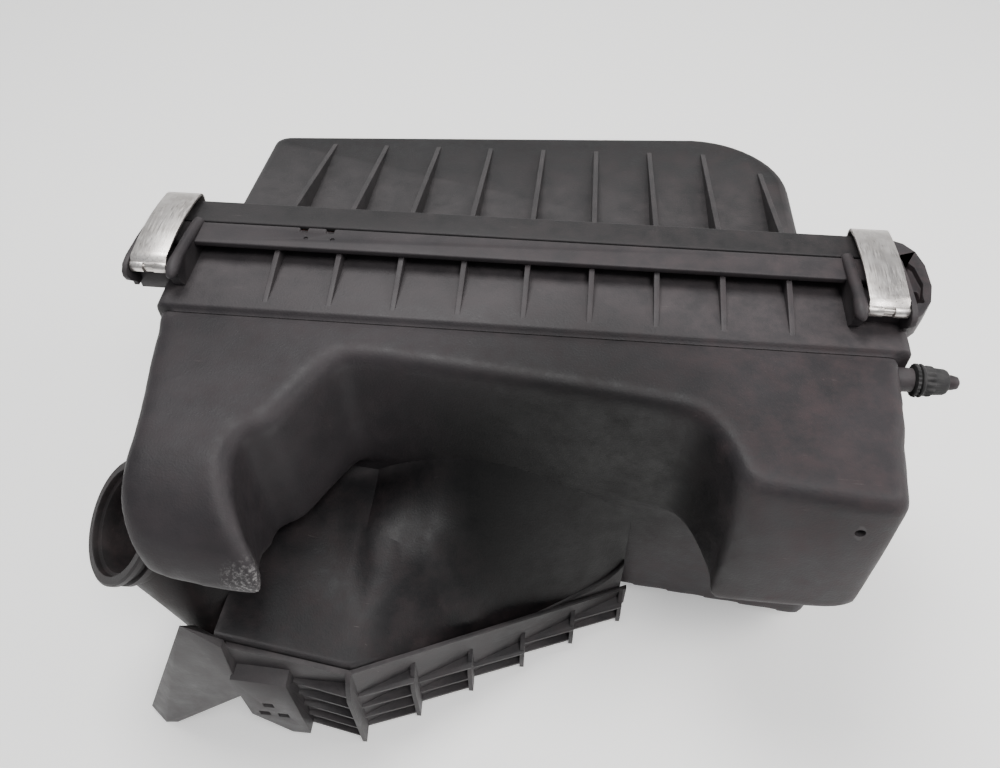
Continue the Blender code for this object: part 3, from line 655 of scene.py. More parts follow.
def chalky(tree, bsdf, place, base, light):
    """Moulded nitrile rubber: matt, with a chalky bloom in patches."""
    bloom = noise(tree, place, "Object", 220.0, 6.0)
    tone = ramp(tree, bloom, 0, ((0.35, rgb(base)), (0.72, rgb(light))))
    grain = noise(tree, place, "Object", 1600.0, 3.0)
    wire(tree, bsdf, Base_Color=tone, Normal=relief(tree, grain, 0.35, 0.0003))


def cast(tree, bsdf, place, base, light):
    """Cast polyurethane seal: soft satin skin with small pinholes."""
    tone = ramp(tree, noise(tree, place, "Object", 60.0, 5.0), 0, ((0.3, rgb(base)), (0.75, rgb(light))))
    holes = add(tree, "ShaderNodeTexVoronoi", [("Vector", place, "Object")], in_Scale=620.0)
    pits = ramp(tree, holes, 0, ((0.0, 0.0), (0.22, 1.0)))
    wire(tree, bsdf, Base_Color=tone, Normal=relief(tree, pits, 0.3, 0.0003))


def fibrous(tree, bsdf, place, base, light):
    """Resin-treated filter paper: a fibrous mat in two tones."""
    fibre = noise(tree, stretched(tree, place, in_Scale=(900.0, 900.0, 260.0)), 0, 1.0, 8.0, 0.7)
    tone = ramp(tree, fibre, 0, ((0.3, rgb(base)), (0.7, rgb(light))))
    wire(tree, bsdf, Base_Color=tone, Normal=relief(tree, fibre, 0.3, 0.0002))


# ---------------------------------------------------------------- settings
class AirBoxSizes(bpy.types.PropertyGroup):
    gusset_count: IntProperty(name="Gussets", description="Gussets along each side of the rim", default=GUSSETS,
                              min=2, max=12)
    gusset_pitch: FloatProperty(name="Gusset pitch", description="Distance between gussets",
                                default=PITCH * MM, unit="LENGTH", subtype="DISTANCE")
    gusset_thickness: FloatProperty(name="Gusset thickness", description="Thickness of one gusset",
                                    default=2.4 * MM, unit="LENGTH", subtype="DISTANCE")
    edge_round: FloatProperty(name="Edge rounding", description="Rounding of the moulded rim's edges",
                              default=0.9 * MM, unit="LENGTH", subtype="DISTANCE")
    grid: FloatProperty(name="Shell grid", description="Spacing of the grid that the body shell is drawn on",
                        default=2.0 * MM, unit="LENGTH", subtype="DISTANCE")
    pleats: IntProperty(name="Pleats", description="Folds in half of the filter element", default=46)


class AirBoxColours(bpy.types.PropertyGroup):
    case: StringProperty(name="Case", description="Base colour of the case plastic", default="242224")
    cover: StringProperty(name="Cover", description="Base colour of the cover plastic", default="121213")
    duct: StringProperty(name="Duct", description="Base colour of the duct and tray plastic", default="141315")
    neck: StringProperty(name="Neck", description="Base colour of the intake neck", default="161415")
    dust: StringProperty(name="Dust", description="Colour of the settled dust", default="5c4545")
    steel: StringProperty(name="Clip steel", description="Base colour of the spring clips", default="cfc9c4")
    rubber: StringProperty(name="Rubber", description="Base colour of the isolator", default="1d1d1e")
    seal: StringProperty(name="Seal", description="Base colour of the element's seal", default="b4541f")
    paper: StringProperty(name="Paper", description="Base colour of the filter paper", default="cdbb8c")
    floor: FloatVectorProperty(name="Floor", description="Colour of the studio floor", subtype="COLOR", size=3,
                               default=rgb("f7f7f5")[:3], min=0.0, max=1.0)


def sizes():
    return bpy.context.scene.air_box_sizes


def colours():
    return bpy.context.scene.air_box_colours


def case_plastic():
    # painted shade: a dark patch round a point in the scoop stands in for the scoop's shadow on the case
    return finish("moulded black polypropylene, case", MOULDED, moulded, colours().case, "302d2f",
                  scuff=(-96.0, -158.0, -36.0), grime=(25.0, -92.0, -62.0))


def cover_plastic():
    return finish("moulded black polypropylene, cover", MOULDED, moulded, colours().cover, "1b1b1c", 0.58,
                  dusty=0.15)


def duct_plastic():
    # painted shade: a dark patch round a point in the scoop stands in for the shadow on the duct's dome
    return finish("moulded black polypropylene, duct", MOULDED, moulded, colours().duct, "262526", 0.5,
                  scratches=1.0, dusty=0.45, grime=(25.0, -70.0, -90.0))


def neck_plastic():
    return finish("moulded black polypropylene, neck", MOULDED, moulded, colours().neck, "201e1e", 0.5, dusty=0.5)


def brushed_steel(name, base, rough, along):
    return finish(name, {"in_Metallic": 1.0}, brushed, base, rough, along)


def pin_steel():
    return brushed_steel("drawn steel, pins", "9a958f", 0.36, "X")


def isolator_rubber():
    return finish("moulded nitrile rubber, isolator", {"in_IOR": 1.52, "in_Roughness": 0.78}, chalky,
                  colours().rubber, "3a3939")


def seal_foam():
    return finish("cast polyurethane seal", {"in_IOR": 1.5, "in_Roughness": 0.62, "in_Subsurface_Weight": 0.05},
                  cast, colours().seal, "c9682c")


# ---------------------------------------------------------------- pieces
def on_case(obj, name, *stands_for):
    return settle(obj, name, case_plastic(), "case", stands_for)


def on_cover(obj, name, *stands_for):
    return settle(obj, name, cover_plastic(), "cover", stands_for)


def make_case_shell():
    obj = field_object("case_shell", case_shell_field, (-170.0, -176.0, -168.0), (170.0, -42.0, 6.0),
                       sizes().grid / MM)
    drain = loft([on_y(disc(137.0, -22.0, r, 20), y) for r, y in ((2.3, -133.0), (2.1, -124.0), (2.1, -118.0))])
    cut(obj, drain)
    shade(obj, 48.0)
    return on_case(obj, "case_shell", "lower_case")


def make_case_collar():
    """Upright collar with its ledge, open through the middle."""
    def ring(grow, y, r=5.0):
        return on_y(rounded(-COLLAR_X - grow, COLLAR_X + grow, DEPTH - grow * 0.4, grow * 0.4, r), y)
    outer = loft([ring(1.4, -0.6), ring(0.0, -44.6), ring(-0.4, -45.3), ring(-1.3, -45.9), ring(-3.4, -46.6),
                  ring(-6.0, -48.0)])
    inner = loft([ring(-2.9, 2.0), ring(-7.6, -52.0)])
    cut(outer, inner)
    shade(outer, 30.0)
    return on_case(outer, "case_collar", "lower_case")


def rim(inset, y, grow=0.0):
    x0, x1, z0, z1 = RIM
    return on_y(rounded(x0 + inset, x1 - inset, z0 + inset, z1 - inset, max(9.0 - inset, 1.0), 8), y)


def make_case_flange():
    flange = loft([rim(0.0, -0.2), rim(0.0, -14.4)])
    cut(flange, loft([rim(3.0, -3.0), rim(3.0, -20.0)]), loft([rim(13.4, -10.0), rim(13.4, 5.0)]))
    for x in (-106.0, -93.5):
        cut(flange, block(x - 1.9, x + 1.9, -3.4, 1.0, 8.4, 13.0))
    soften(flange, sizes().edge_round / MM * 0.9, 3)
    cut(flange, *[prism_z(disc(x, -8.0, 1.1, 16), 9.4, 13.0) for x in (-103.5, -91.0)])
    shade(flange, 36.0)
    return on_case(flange, "case_flange", "lower_case")


def make_case_gussets():
    outline = [(-1.5, -1.0), (-1.5, 7.4), (-12.4, 7.4), (-14.6, 6.6), (-30.0, 3.0), (-42.6, -0.3), (-42.6, -1.0)]
    row = gusset_row("case_gussets", outline, 0.0, case_plastic(), sizes().gusset_count)
    on_case(row, "case_gussets")
    outline = [(-1.5, DEPTH + 1), (-1.5, DEPTH - 2.4), (-9.0, DEPTH - 2.4), (-37.0, DEPTH + 0.4), (-37.0, DEPTH + 1)]
    row = gusset_row("case_gussets_rear", outline, 0.0, case_plastic(), sizes().gusset_count)
    return on_case(row, "case_gussets_rear")


def make_clip_seats():
    """Cheeks that hold the clip pins, the tiny rim pin and the hinge ears."""
    for x in CLIP_XS:
        tag = "left" if x < 0 else "right"
        inner = -1 if x > 0 else 1
        thin = x - inner * (CLIP_W / 2 + 1.6)
        cheek = prism_x([(0.0, 0.0), (0.0, 11.8), (-4.0, 13.0), (-18.0, 14.2), (-31.0, 14.4), (-36.0, 13.6),
                         (-38.8, 11.0), (-39.2, 8.6), (-38.0, 5.5), (-34.0, 1.0), (-34.0, -1.0)],
                        thin - 1.1, thin + 1.1)
        column = x + inner * (CLIP_W / 2 + 3.1)
        rings = []
        for y, r, z in ((0.5, 2.5, 9.6), (-3.0, 2.6, 10.2), (-12.0, 2.6, 11.2), (-22.0, 2.6, 11.8),
                        (-28.0, 2.6, 12.0), (-31.0, 2.9, 12.0), (-34.0, 3.0, 11.6), (-37.0, 2.7, 11.0),
                        (-39.2, 1.7, 10.4), (-40.0, 0.6, 10.2)):
            rings.append([(column + r * math.cos(a), y, z + r * math.sin(a)) for a in turns(24)])
        post = loft(rings)
        web = prism_x([(0.0, 0.0), (0.0, 9.0), (-30.0, 11.0), (-36.0, 9.5), (-36.0, 4.0), (-33.0, -1.0)],
                      column - 2.2, column + 2.2)
        foot = sorted((x + inner * (CLIP_W / 2 + 5.0), x - inner * (CLIP_W / 2 + 2.2)))
        base = block(foot[0], foot[1], -30.0, -1.0, -6.0, 5.5)
        join(cheek, base, web, post)
        cut(cheek, prism_x(disc(PIN_Y, PIN_Z, 1.62, 20), x - 13.0, x + 13.0))
        soften(cheek, 0.4, 2, 40.0)
        on_case(cheek, "clip_seat_" + tag)
    pin = loft([on_x(disc(-6.0, 10.0, r, 16), x)
                for x, r in ((140.0, 0.4), (140.3, 0.9), (142.2, 0.9), (142.5, 0.4))])
    settle(shade(pin), "rim_pin", pin_steel(), "case")
    for k, hx in enumerate(HINGE_XS):
        parts = []
        for side in (-1, 1):
            c = hx + side * 9.5
            parts.append(prism_x(disc(HINGE_Y, HINGE_Z, 5.0, 32), c - 2.0, c + 2.0))
            parts.append(block(c - 2.0, c + 2.0, -9.0, -1.0, -171.0, -165.0))
        join(parts[0], *parts[1:])
        cut(parts[0], prism_x(disc(HINGE_Y, HINGE_Z, 2.6, 24), hx - 14.0, hx + 14.0))
        soften(parts[0], 0.5, 2)
        on_case(parts[0], "hinge_ears_%d" % (k + 1))


def make_end_loop():
    """Leaf-shaped ear beside the right clip with a grooved window, and the isolator's stud."""
    shape = [(157.0, 24.0), (168.5, 25.0), (174.0, 22.5), (178.6, 17.0), (181.0, 8.0), (181.0, -6.0), (178.5, -16.0),
             (173.5, -24.0), (168.0, -29.2), (164.0, -30.0), (157.0, -28.0)]
    loop = prism_z(shape, LOOP_Z - 6.5, LOOP_Z + 6.5)
    inside = [(167.6, 12.0), (171.6, 11.4), (175.6, 6.0), (177.2, -5.0), (175.0, -14.0), (169.6, -21.5),
              (167.6, -21.0)]
    cut(loop, prism_z(inside, LOOP_Z + 3.4, LOOP_Z + 8.0))
    cut(loop, prism_z(rounded(167.8, 175.4, -17.5, -7.0, 1.2), LOOP_Z - 12.0, LOOP_Z + 12.0))
    cut(loop, block(147.0, 167.3, -1.0, 40.0, -60.0, 20.0))
    soften(loop, 0.7, 3, 35.0)
    on_case(loop, "end_loop")
    stud = loft([on_x(disc(STUD_Y, STUD_Z, r, 32), x) for x, r in
                 ((150.0, 5.6), (167.4, 5.2), (167.5, 3.3), (184.0, 3.3), (186.4, 2.7), (187.4, 1.2))])
    return on_case(shade(stud), "isolator_stud")


def duct_ring(x):
    zf, zb = duct_floor(x), duct_front(x)
    top = FLOOR_Y + FLOOR_TILT * x + 0.8
    low = min(tray_low(x) + 2.8, top - 4.0)
    slope = (zf - zb) / (top - low)
    top, zf = top + 8.0, zf + slope * 8.0
    rear = -150.0 - min((x + 121.0) * 1.3, 21.0)
    pts = [(top, rear), (top, zf)]
    # a ridge runs down the face towards the right, with a shallow hollow above it
    ridge = float(np.interp(x, (-76.0, -37.0, -12.0, 0.0), (-101.0, -110.0, -131.0, -142.0)))
    high = float(np.interp(x, (-84.0, -66.0, -14.0, 0.0), (0.0, 7.0, 9.0, 0.0)))
    for k in (0.1, 0.2, 0.3, 0.4, 0.5, 0.6, 0.7, 0.8, 0.9):
        y = top + (low - top) * k
        if abs(y - ridge) < (top - low) * 0.05:
            y = ridge
        rise = high * max(1.0 - abs(y - ridge) / 26.0, 0.0) - 1.6 * math.sin(math.pi * k)
        pts.append((y, zb + slope * (y - low) + rise))
    edge = min(2.6, (top - low) * 0.25)
    for i in range(5):
        a = math.radians(90.0 * i / 4)
        y = low + edge * (1 - math.sin(a))
        pts.append((y, zb + slope * edge - edge * (1 - math.cos(a)) - edge * 0.15))
    pts.append((low, rear))
    return on_x(pts, x)


def make_duct():
    xs = [-124.0, -121.0, -118.0] + [-114.0 + 4.0 * i for i in range(43)] + [57.4]
    duct = loft([duct_ring(x) for x in xs])
    cut(duct, loft(neck_rings(NECK_STEPS, 0.3)))
    shade(duct, 24.0)
    return settle(duct, "intake_duct_shell", duct_plastic(), "case", ("intake_duct",))


def hull(points):
    obj = new_object("leg", points, [])
    with edited(obj) as bm:
        bmesh.ops.convex_hull(bm, input=bm.verts)
        bmesh.ops.delete(bm, geom=[v for v in bm.verts if not v.link_faces], context="VERTS")
    return obj


def make_tray():
    """Rib tray under the duct with cross webs, long ribs, a pierced ledge and a wedge leg."""
    floor = []
    for x in (-119.0, -103.0, WEB_X0, 61.0):
        low = tray_low(x)
        rear = -150.0 if x < -110 else -171.0
        front = duct_front(x) - 2.6
        floor.append(on_x([(low, rear), (low, front), (low + TRAY_T, front), (low + TRAY_T, rear)], x))
    tray = loft(floor)
    pad = [(-119.0, -106.5), (-94.0, -108.5), (-94.0, -171.0), (-103.0, -171.0), (-119.0, -150.0)]
    join(tray, loft([on_y(pad, y) for y in (TRAY_Y - WEB_OUT, TRAY_Y + 1)]))
    for i in range(WEBS):
        x = WEB_X0 + i * WEB_PITCH
        low, top = tray_low(x), duct_front(x) - 2.8
        web = [(low + 1.0, top + 2.0), (low - 1.6, top + 0.8), (low - 4.4, top - 3.4), (low - WEB_OUT, top - 12.0),
               (low - WEB_OUT, -175.4), (low + 1.0, -171.0)]
        join(tray, prism_x(web, x - 1.1, x + 1.1))
    for z in (-119.0, -133.0, -147.0, -160.0, -171.0):
        x0 = -95.0
        for i in range(WEBS):
            x1 = WEB_X0 + i * WEB_PITCH + 1.0
            if z < duct_front(x1 - 12) - 6.0:
                join(tray, loft([on_x([(tray_low(x) + 0.5, z - 1.1), (tray_low(x) + 0.5, z + 1.1),
                                       (tray_low(x) - out, z + 0.8), (tray_low(x) - out, z - 0.8)], x)
                                 for x, out in ((x0, 1.5), (x1, 7.2))]))
            x0 = x1 - 2.0
    leg = hull([(-133, -165, -69), (-118, -167.5, -82.5), (-118, -171.8, -126), (-118, -164, -126),
                (-133, -158, -84), (-118, -164, -82.5), (-172, -165, -168), (-179, -166, -172),
                (-164.5, -171.5, -176), (-170.5, -172, -176), (-178, -160, -176), (-165, -160, -176)])
    join(tray, leg)
    for x, z in ((-108.0, -136.0), (-103.0, -148.0), (-112.0, -147.0)):
        cut(tray, block(x - 2.6, x + 2.6, TRAY_Y - 20, TRAY_Y - 4.5, z - 2.4, z + 2.4))
    cut(tray, loft(neck_rings(NECK_STEPS, 0.3)))
    soften(tray, 0.5, 2, 40.0)
    return settle(tray, "rib_tray_body", duct_plastic(), "case", ("rib_tray",))


def make_neck():
    """Intake neck: three moulded lips at the round mouth, bending to the flat oval at the duct."""
    neck = loft(neck_rings(NECK_STEPS, 0.0))
    bore = neck_rings(((-3.0, MOUTH_R - 3.4), (0.8, MOUTH_R - 4.4), (2.6, MOUTH_R - 4.6), (3.4, MOUTH_R - 6.0),
                       (9.0, MOUTH_R - 6.2), (13.5, MOUTH_R - 6.2)), 0.0)
    small = bore[:6]
    for ring in bore[6:]:
        centre = sum((Vector(p) for p in ring), Vector()) / len(ring)
        small.append([tuple(centre + (Vector(p) - centre) * 0.91) for p in ring])
    small.append([(p[0] + 6.0, p[1], p[2]) for p in small[-1]])
    cut(neck, loft(small))
    shade(neck, 28.0)
    return settle(neck, "intake_neck_shell", neck_plastic(), "case", ("intake_neck",))


def lid_ring(e, z, lean):
    """Cover's cross-section: straight left end, crown rising to the right, big right shoulder."""
    x0, x1, r, base = -152.0 + e, 130.0 - e, 48.0 - e, 13.6
    slope = (121.5 - 100.0) / 282.0
    top = 121.5 - e
    pts = [(x0, base), (x1, base), (x1, top - r)]
    pts += quarter(x1 - r, top - r, r, 0.0, 12, 1)
    left = top - slope * (x1 - r - x0)
    pts += quarter(x0 + 7.0, left - 7.0, 7.0, 90.0, 6)
    return [(x, y, z + lean * 0.07 * max(y - 15.6, 0.0)) for x, y in pts]


def make_cover():
    s = sizes()
    rings = [lid_ring(e, -4.0 - d, -1) for e, d in ((5.2, 0.0), (3.2, 0.4), (1.5, 1.5), (0.4, 3.2), (0.0, 5.2))]
    rings += [lid_ring(e, -158.0 + d, 1) for e, d in ((0.0, 5.2), (0.4, 3.2), (1.5, 1.5), (3.2, 0.4), (5.2, 0.0))]
    lid = loft(rings)
    boss = loft([on_z(disc(30.0, 62.0, 41.0, 64), z) for z in (-164.5, -146.0)])
    join(lid, boss)
    inner = [lid_ring(e + 2.8, z, lean) for e, z, lean in ((4.0, -7.0, -1), (0.0, -11.0, -1), (0.0, -151.0, 1),
                                                          (4.0, -155.0, 1))]
    cut(lid, loft([[(x, y - (16.0 if y < 14.0 else 0.0), z) for x, y, z in ring] for ring in inner]))
    cut(lid, prism_z(disc(30.0, 62.0, 31.0, 64), -185.0, -120.0))
    for k in range(4):
        a = math.radians(45.0 + 90.0 * k)
        cut(lid, prism_z(disc(30.0 + 36.6 * math.cos(a), 62.0 + 36.6 * math.sin(a), 1.8, 16), -170.0, -155.6))
    shade(lid, 34.0)
    on_cover(lid, "cover_shell", "upper_cover")
    flange = loft([rim(0.0, 0.6), rim(0.0, 15.6)])
    cut(flange, loft([rim(3.0, -1.0), rim(3.0, 12.6)]), loft([rim(13.0, 10.0), rim(13.0, 20.0)]))
    soften(flange, s.edge_round / MM, 3)
    on_cover(flange, "cover_flange")
    deck = loft([rim(8.0, 12.9), rim(8.0, 15.2)])
    cut(deck, loft([on_y(rounded(-148.0, 126.0, -154.0, -8.0, 4.0), y) for y in (5.0, 20.0)]))
    on_cover(shade(deck), "cover_deck")
    wall = -4.0 - 0.07 * 79.0
    outline = [(14.6, -8.0), (14.6, 8.0), (16.8, 8.0), (95.0, wall + 0.4), (95.0, wall - 3.0)]
    end = (s.gusset_count - 1) * s.gusset_pitch / MM / 2
    row = gusset_row("cover_gussets", outline, 15.6, cover_plastic(), s.gusset_count - 1, 0.0125, -end)
    on_cover(row, "cover_gussets")
    wall = -4.0 - 0.07 * 70.0
    outline = [(14.6, -8.0), (14.6, 8.0), (16.8, 8.0), (86.0, wall + 0.4), (86.0, wall - 3.0)]
    row = gusset_row("cover_gusset_end", outline, 15.6, cover_plastic(), 1, 0.0, end)
    on_cover(row, "cover_gusset_end")
    for k, hx in enumerate(HINGE_XS):
        tongue = block(hx - 6.0, hx + 6.0, HINGE_Y, 9.0, HINGE_Z - 1.6, HINGE_Z + 1.6)
        join(tongue, block(hx - 6.0, hx + 6.0, 4.0, 14.0, HINGE_Z - 1.6, -166.4),
             prism_x(disc(HINGE_Y, HINGE_Z, 2.6, 32), hx - 6.0, hx + 6.0),
             prism_x(disc(HINGE_Y, HINGE_Z, 2.4, 24), hx - 11.4, hx + 11.4))
        soften(tongue, 0.3, 2)
        on_cover(tongue, "hinge_tongue_%d" % (k + 1))


def make_clip(x, tag):
    """Bowed spring strap rolled round its pin, with a turned-in lip notched in the middle."""
    def ribbon(path, thick):
        left, right = [], []
        for i, (y, z) in enumerate(path):
            a, b = path[max(i - 1, 0)], path[min(i + 1, len(path) - 1)]
            d = Vector((b[0] - a[0], b[1] - a[1])).normalized()
            left.append((y - d.y * thick / 2, z + d.x * thick / 2))
            right.append((y + d.y * thick / 2, z - d.x * thick / 2))
        return left + right[::-1]

    r = 1.6 + 0.08 + 0.5
    path = []
    for i in range(17):
        a = math.radians(-60.0 - 13.5 * i)
        path.append((PIN_Y + r * math.cos(a), PIN_Z + r * math.sin(a)))
    for i in range(19):
        k = i / 18.0
        path.append((PIN_Y + 2.0 + 45.0 * k, 13.0 + 3.4 * math.sin(math.pi * (0.15 + 0.75 * k))))
    path += [(15.9, 13.2), (16.7, 12.2), (17.2, 10.8), (17.1, 9.2), (16.7, 7.2), (16.5, 5.2)]
    strap = prism_x(ribbon(path, 1.0), x - CLIP_W / 2, x + CLIP_W / 2)
    cut(strap, block(x - 2.4, x + 2.4, PIN_Y - 5.0, PIN_Y - 0.6, PIN_Z - 4.0, PIN_Z + 5.0))
    soften(strap, 0.22, 2, 50.0)
    steel = brushed_steel("brushed spring steel, clips", colours().steel, 0.34, "Y")
    return settle(strap, "clip_strap_" + tag, steel, tag + "_clip", ("clip_" + tag,))


def make_isolator():
    """Rubber isolator pushed on the stud: serrated base, washer ring, nubbed body, plain nose."""
    def ring(x, r, teeth=0, depth=0.0, count=96):
        out = []
        for a in turns(count):
            q = r - depth * (0.5 + 0.5 * math.cos(a * teeth)) if teeth else r
            out.append((x, STUD_Y + q * math.cos(a), STUD_Z + q * math.sin(a)))
        return out
    prof = [(168.0, 5.0, 0, 0), (168.2, 7.2, 24, 0.5), (169.4, 7.4, 24, 0.6), (169.6, 5.6, 0, 0), (170.2, 5.4, 0, 0),
            (170.4, 7.0, 0, 0), (171.0, 7.3, 0, 0), (171.6, 7.0, 0, 0), (171.8, 6.1, 0, 0), (172.4, 6.3, 16, 0.5),
            (173.6, 6.8, 16, 0.9), (175.0, 6.7, 16, 0.9), (175.8, 6.3, 16, 0.5), (176.1, 5.9, 0, 0),
            (180.4, 5.6, 0, 0), (181.4, 5.2, 0, 0), (182.0, 4.5, 0, 0), (182.2, 3.9, 0, 0)]
    body = loft([ring(*p) for p in prof])
    cut(body, prism_x(disc(STUD_Y, STUD_Z, 3.6, 32), 150.0, 200.0))
    shade(body, 38.0)
    return settle(body, "isolator", isolator_rubber(), "case", ("mount_grommet",))


def make_element():
    """Pleated paper block; its folds are drawn in step with the frame's."""
    count, half = sizes().pleats, 145.4
    upper, lower = [], []
    for i in range(2 * count + 1):
        x = -half + half * i / count
        peak = i % 2 == 0
        y = 9.0 if peak else -33.0
        if 0 < i < 2 * count:
            high, low = (y - 0.2, y - 2.2) if peak else (y + 0.2, y - 1.8)
            upper += [(x - 0.35, high), (x, y), (x + 0.35, high)]
            lower += [(x - 0.35, low), (x, y - 2.0), (x + 0.35, low)]
        else:
            upper.append((x, y))
            lower.append((x, y - 2.0))
    pleats = prism_z(upper + lower[::-1], -150.2, -12.8)
    shade(pleats, 50.0)
    paper = finish("resin-treated pleated filter paper", {"in_Roughness": 0.9, "in_Sheen_Weight": 0.15}, fibrous,
                   colours().paper, "ded0a8")
    return settle(pleats, "filter_pleats", paper, "case", ("element_pleats",))


def paint_frame_nodes():
    """Finishes for the frame's own solids that keep their shape."""
    kept = {"clip_pin_left": pin_steel(), "clip_pin_right": pin_steel(), "outlet_duct": neck_plastic(),
            "outlet_seal": isolator_rubber(), "element_seal": seal_foam()}
    steel = brushed_steel("zinc-plated steel, screws", "a8a6a2", 0.4, "X")
    for name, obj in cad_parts.items():
        mat = kept.get(name) or (steel if name.startswith("outlet_screw") else None)
        if mat:
            if not obj.data.materials:
                obj.data.materials.append(mat)
            for slot_ in obj.material_slots:
                slot_.material = mat


def laminate(tree, bsdf, place):
    """Matt laminate board: nearly white, a faint speckle 2 mm wide."""
    base = tuple(colours().floor) + (1.0,)
    dim = tuple(c * 0.97 for c in base[:3]) + (1.0,)
    wire(tree, bsdf, Base_Color=ramp(tree, noise(tree, place, "Object", 500.0, 3.0), 0, ((0.3, dim), (0.7, base))))


# name, place, point aimed at (m), size (m), power (W) and colour of each soft light
LIGHTS = (("key", (-0.2, 0.3, 1.3), (0.0, -0.05, 0.1), 0.6, 15.0, (1.0, 0.99, 0.98)),
          ("front", (0.35, -0.55, 1.35), (0.0, -0.02, 0.1), 0.5, 10.0, (1.0, 0.98, 0.98)),
          ("side", (1.0, 0.1, 0.75), (0.05, 0.0, 0.1), 0.6, 6.0, (1.0, 0.96, 0.94)))
# camera: lens and place in mm, and the directions that it looks along and calls up
LENS, EYE, LOOK, UP = 30.604, (21.83, -277.85, 441.5), (-0.0733, 0.6425, -0.7628), (-0.0687, 0.7598, 0.6465)
FLOOR_HALF, FLOOR_NEAR, FLOOR_LONG, FLOOR_BEND, FLOOR_STEPS = 3.0, -2.0, 4.0, 0.9, 24


def make_floor():
    """Pale floor that sweeps up behind."""
    floor = bpy.data.meshes.new("studio floor")
    pts, faces = [], []
    for i in range(FLOOR_STEPS + 1):
        y = FLOOR_NEAR + FLOOR_LONG * (i / FLOOR_STEPS)
        z = 0.0 if y < FLOOR_BEND else (y - FLOOR_BEND) ** 2 * 0.9
        pts += [(-FLOOR_HALF, y, z - 0.0002), (FLOOR_HALF, y, z - 0.0002)]
        if i:
            faces.append((2 * i - 2, 2 * i - 1, 2 * i + 1, 2 * i))
    floor.from_pydata(pts, [], faces)
    obj = bpy.data.objects.new("studio_floor", floor)
    bpy.context.scene.collection.objects.link(obj)
    for face in floor.polygons:
        face.use_smooth = True
    floor.materials.append(finish("matt white laminate", {"in_Roughness": 0.7, "in_Emission_Strength": 0.4,
                                                          "in_Emission_Color": (1.0, 1.0, 1.0, 1.0)}, laminate))


def make_room():
    """Soft room light: bright ceiling, dimmer towards the walls."""
    world = bpy.data.worlds.new("studio")
    bpy.context.scene.world = world
    world.use_nodes = True
    tree = world.node_tree
    back = tree.nodes["Background"]
    back.inputs["Strength"].default_value = 0.5
    split = add(tree, "ShaderNodeSeparateXYZ", [(0, add(tree, "ShaderNodeTexCoord"), "Generated")])
    tone = ramp(tree, split, "Z", ((0.0, (0.42, 0.43, 0.45, 1.0)), (0.85, (0.95, 0.97, 1.0, 1.0))))
    tree.links.new(tone.outputs[0], back.inputs["Color"])


def make_lights():
    for name, at, aim, size, power, tint in LIGHTS:
        light = bpy.data.lights.new(name, "AREA")
        light.shape = "DISK"
        light.size, light.energy, light.color = size, power, tint
        lamp = bpy.data.objects.new("light_" + name, light)
        lamp.location = at
        lamp.rotation_euler = (Vector(aim) - Vector(at)).to_track_quat("-Z", "Y").to_euler()
        bpy.context.scene.collection.objects.link(lamp)


def make_camera():
    cam = bpy.data.cameras.new("camera")
    cam.lens, cam.sensor_width = LENS, 36.0
    eye = bpy.data.objects.new("camera", cam)
    forward = Vector(LOOK).normalized()
    right = forward.cross(Vector(UP)).normalized()
    turn = Matrix((right, right.cross(forward).normalized(), -forward)).transposed().to_4x4()
    eye.matrix_world = Matrix.Translation(Vector(EYE) * MM) @ turn
    bpy.context.scene.collection.objects.link(eye)
    bpy.context.scene.camera = eye


# ---------------------------------------------------------------- add-on
class AirBoxOperator:
    bl_options = {"REGISTER", "UNDO"}


class AIRBOX_OT_case(AirBoxOperator, bpy.types.Operator):
    """Build the lower case: shell, collar, flange, gussets, clip seats and end loop"""
    bl_idname = "airbox.case"
    bl_label = "Lower case"

    def execute(self, context):
        make_case_shell()
        make_case_collar()
        make_case_flange()
        make_case_gussets()
        make_clip_seats()
        make_end_loop()
        return {"FINISHED"}


class AIRBOX_OT_duct(AirBoxOperator, bpy.types.Operator):
    """Build the faceted intake duct under the case"""
    bl_idname = "airbox.duct"
    bl_label = "Intake duct"

    def execute(self, context):
        make_duct()
        return {"FINISHED"}


class AIRBOX_OT_tray(AirBoxOperator, bpy.types.Operator):
    """Build the ribbed tray with its leg"""
    bl_idname = "airbox.tray"
    bl_label = "Rib tray"

    def execute(self, context):
        make_tray()
        return {"FINISHED"}


class AIRBOX_OT_neck(AirBoxOperator, bpy.types.Operator):
    """Build the intake neck with its stepped lips"""
    bl_idname = "airbox.neck"
    bl_label = "Intake neck"

    def execute(self, context):
        make_neck()
        return {"FINISHED"}


class AIRBOX_OT_cover(AirBoxOperator, bpy.types.Operator):
    """Build the upper cover with its flange, gussets and hinge tongues"""
    bl_idname = "airbox.cover"
    bl_label = "Upper cover"

    def execute(self, context):
        make_cover()
        return {"FINISHED"}


class AIRBOX_OT_clips(AirBoxOperator, bpy.types.Operator):
    """Build the two spring clips"""
    bl_idname = "airbox.clips"
    bl_label = "Spring clips"

    def execute(self, context):
        make_clip(CLIP_XS[0], "left")
        make_clip(CLIP_XS[1], "right")
        return {"FINISHED"}


class AIRBOX_OT_isolator(AirBoxOperator, bpy.types.Operator):
    """Build the rubber isolator on its stud"""
    bl_idname = "airbox.isolator"
    bl_label = "Isolator"

    def execute(self, context):
        make_isolator()
        return {"FINISHED"}


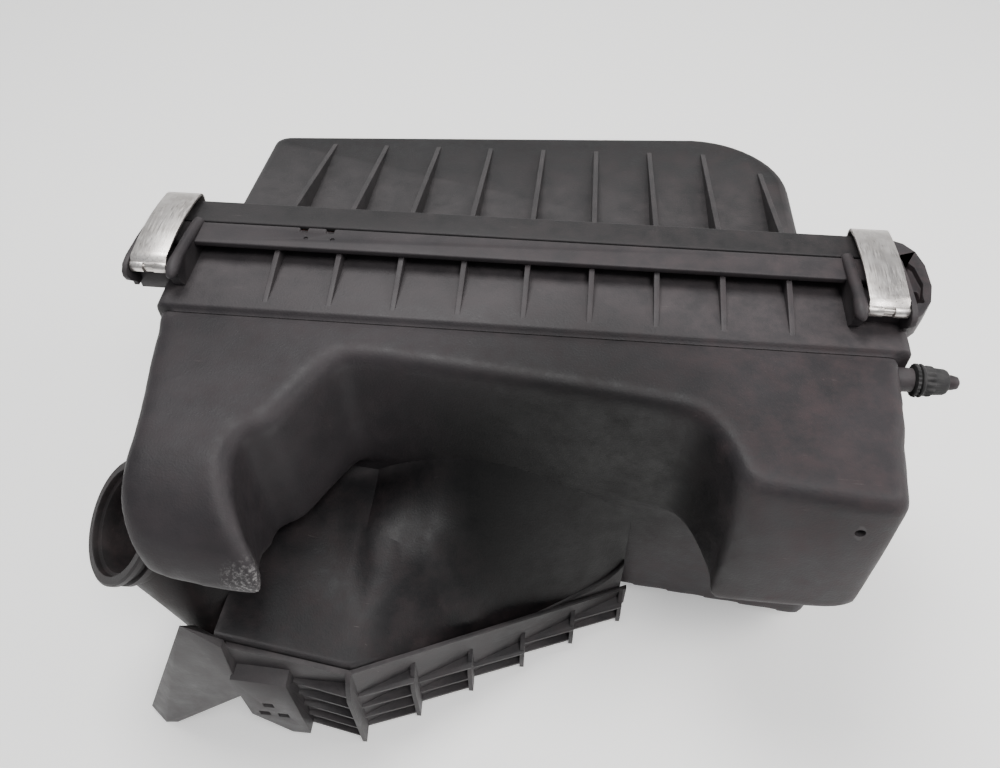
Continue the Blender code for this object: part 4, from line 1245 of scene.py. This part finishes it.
class AIRBOX_OT_element(AirBoxOperator, bpy.types.Operator):
    """Build the pleated element and finish the frame's own solids"""
    bl_idname = "airbox.element"
    bl_label = "Filter element"

    def execute(self, context):
        make_element()
        paint_frame_nodes()
        return {"FINISHED"}


class AIRBOX_OT_stage(AirBoxOperator, bpy.types.Operator):
    """Build the studio floor, the lights and the camera"""
    bl_idname = "airbox.stage"
    bl_label = "Studio stage"

    def execute(self, context):
        make_floor()
        make_room()
        make_lights()
        make_camera()
        return {"FINISHED"}


OPERATORS = (AIRBOX_OT_case, AIRBOX_OT_duct, AIRBOX_OT_tray, AIRBOX_OT_neck, AIRBOX_OT_cover, AIRBOX_OT_clips,
             AIRBOX_OT_isolator, AIRBOX_OT_element, AIRBOX_OT_stage)


class AIRBOX_PT_panel(bpy.types.Panel):
    """Sizes, colours and the build steps"""
    bl_idname = "AIRBOX_PT_panel"
    bl_label = "Air Filter Housing"
    bl_space_type = "VIEW_3D"
    bl_region_type = "UI"
    bl_category = "Air Box"

    def draw(self, context):
        layout = self.layout
        for group in (context.scene.air_box_sizes, context.scene.air_box_colours):
            for key in group.bl_rna.properties.keys():
                if key not in ("rna_type", "name"):
                    layout.prop(group, key)
        for op in OPERATORS:
            layout.operator(op.bl_idname)


CLASSES = (AirBoxSizes, AirBoxColours) + OPERATORS + (AIRBOX_PT_panel,)


def register():
    for cls in CLASSES:
        bpy.utils.register_class(cls)
    bpy.types.Scene.air_box_sizes = PointerProperty(type=AirBoxSizes)
    bpy.types.Scene.air_box_colours = PointerProperty(type=AirBoxColours)


def unregister():
    del bpy.types.Scene.air_box_colours
    del bpy.types.Scene.air_box_sizes
    for cls in reversed(CLASSES):
        bpy.utils.unregister_class(cls)


def main():
    register()
    bpy.ops.airbox.case()
    bpy.ops.airbox.duct()
    bpy.ops.airbox.tray()
    bpy.ops.airbox.neck()
    bpy.ops.airbox.cover()
    bpy.ops.airbox.clips()
    bpy.ops.airbox.isolator()
    bpy.ops.airbox.element()
    bpy.ops.airbox.stage()


if __name__ == "__main__":
    main()
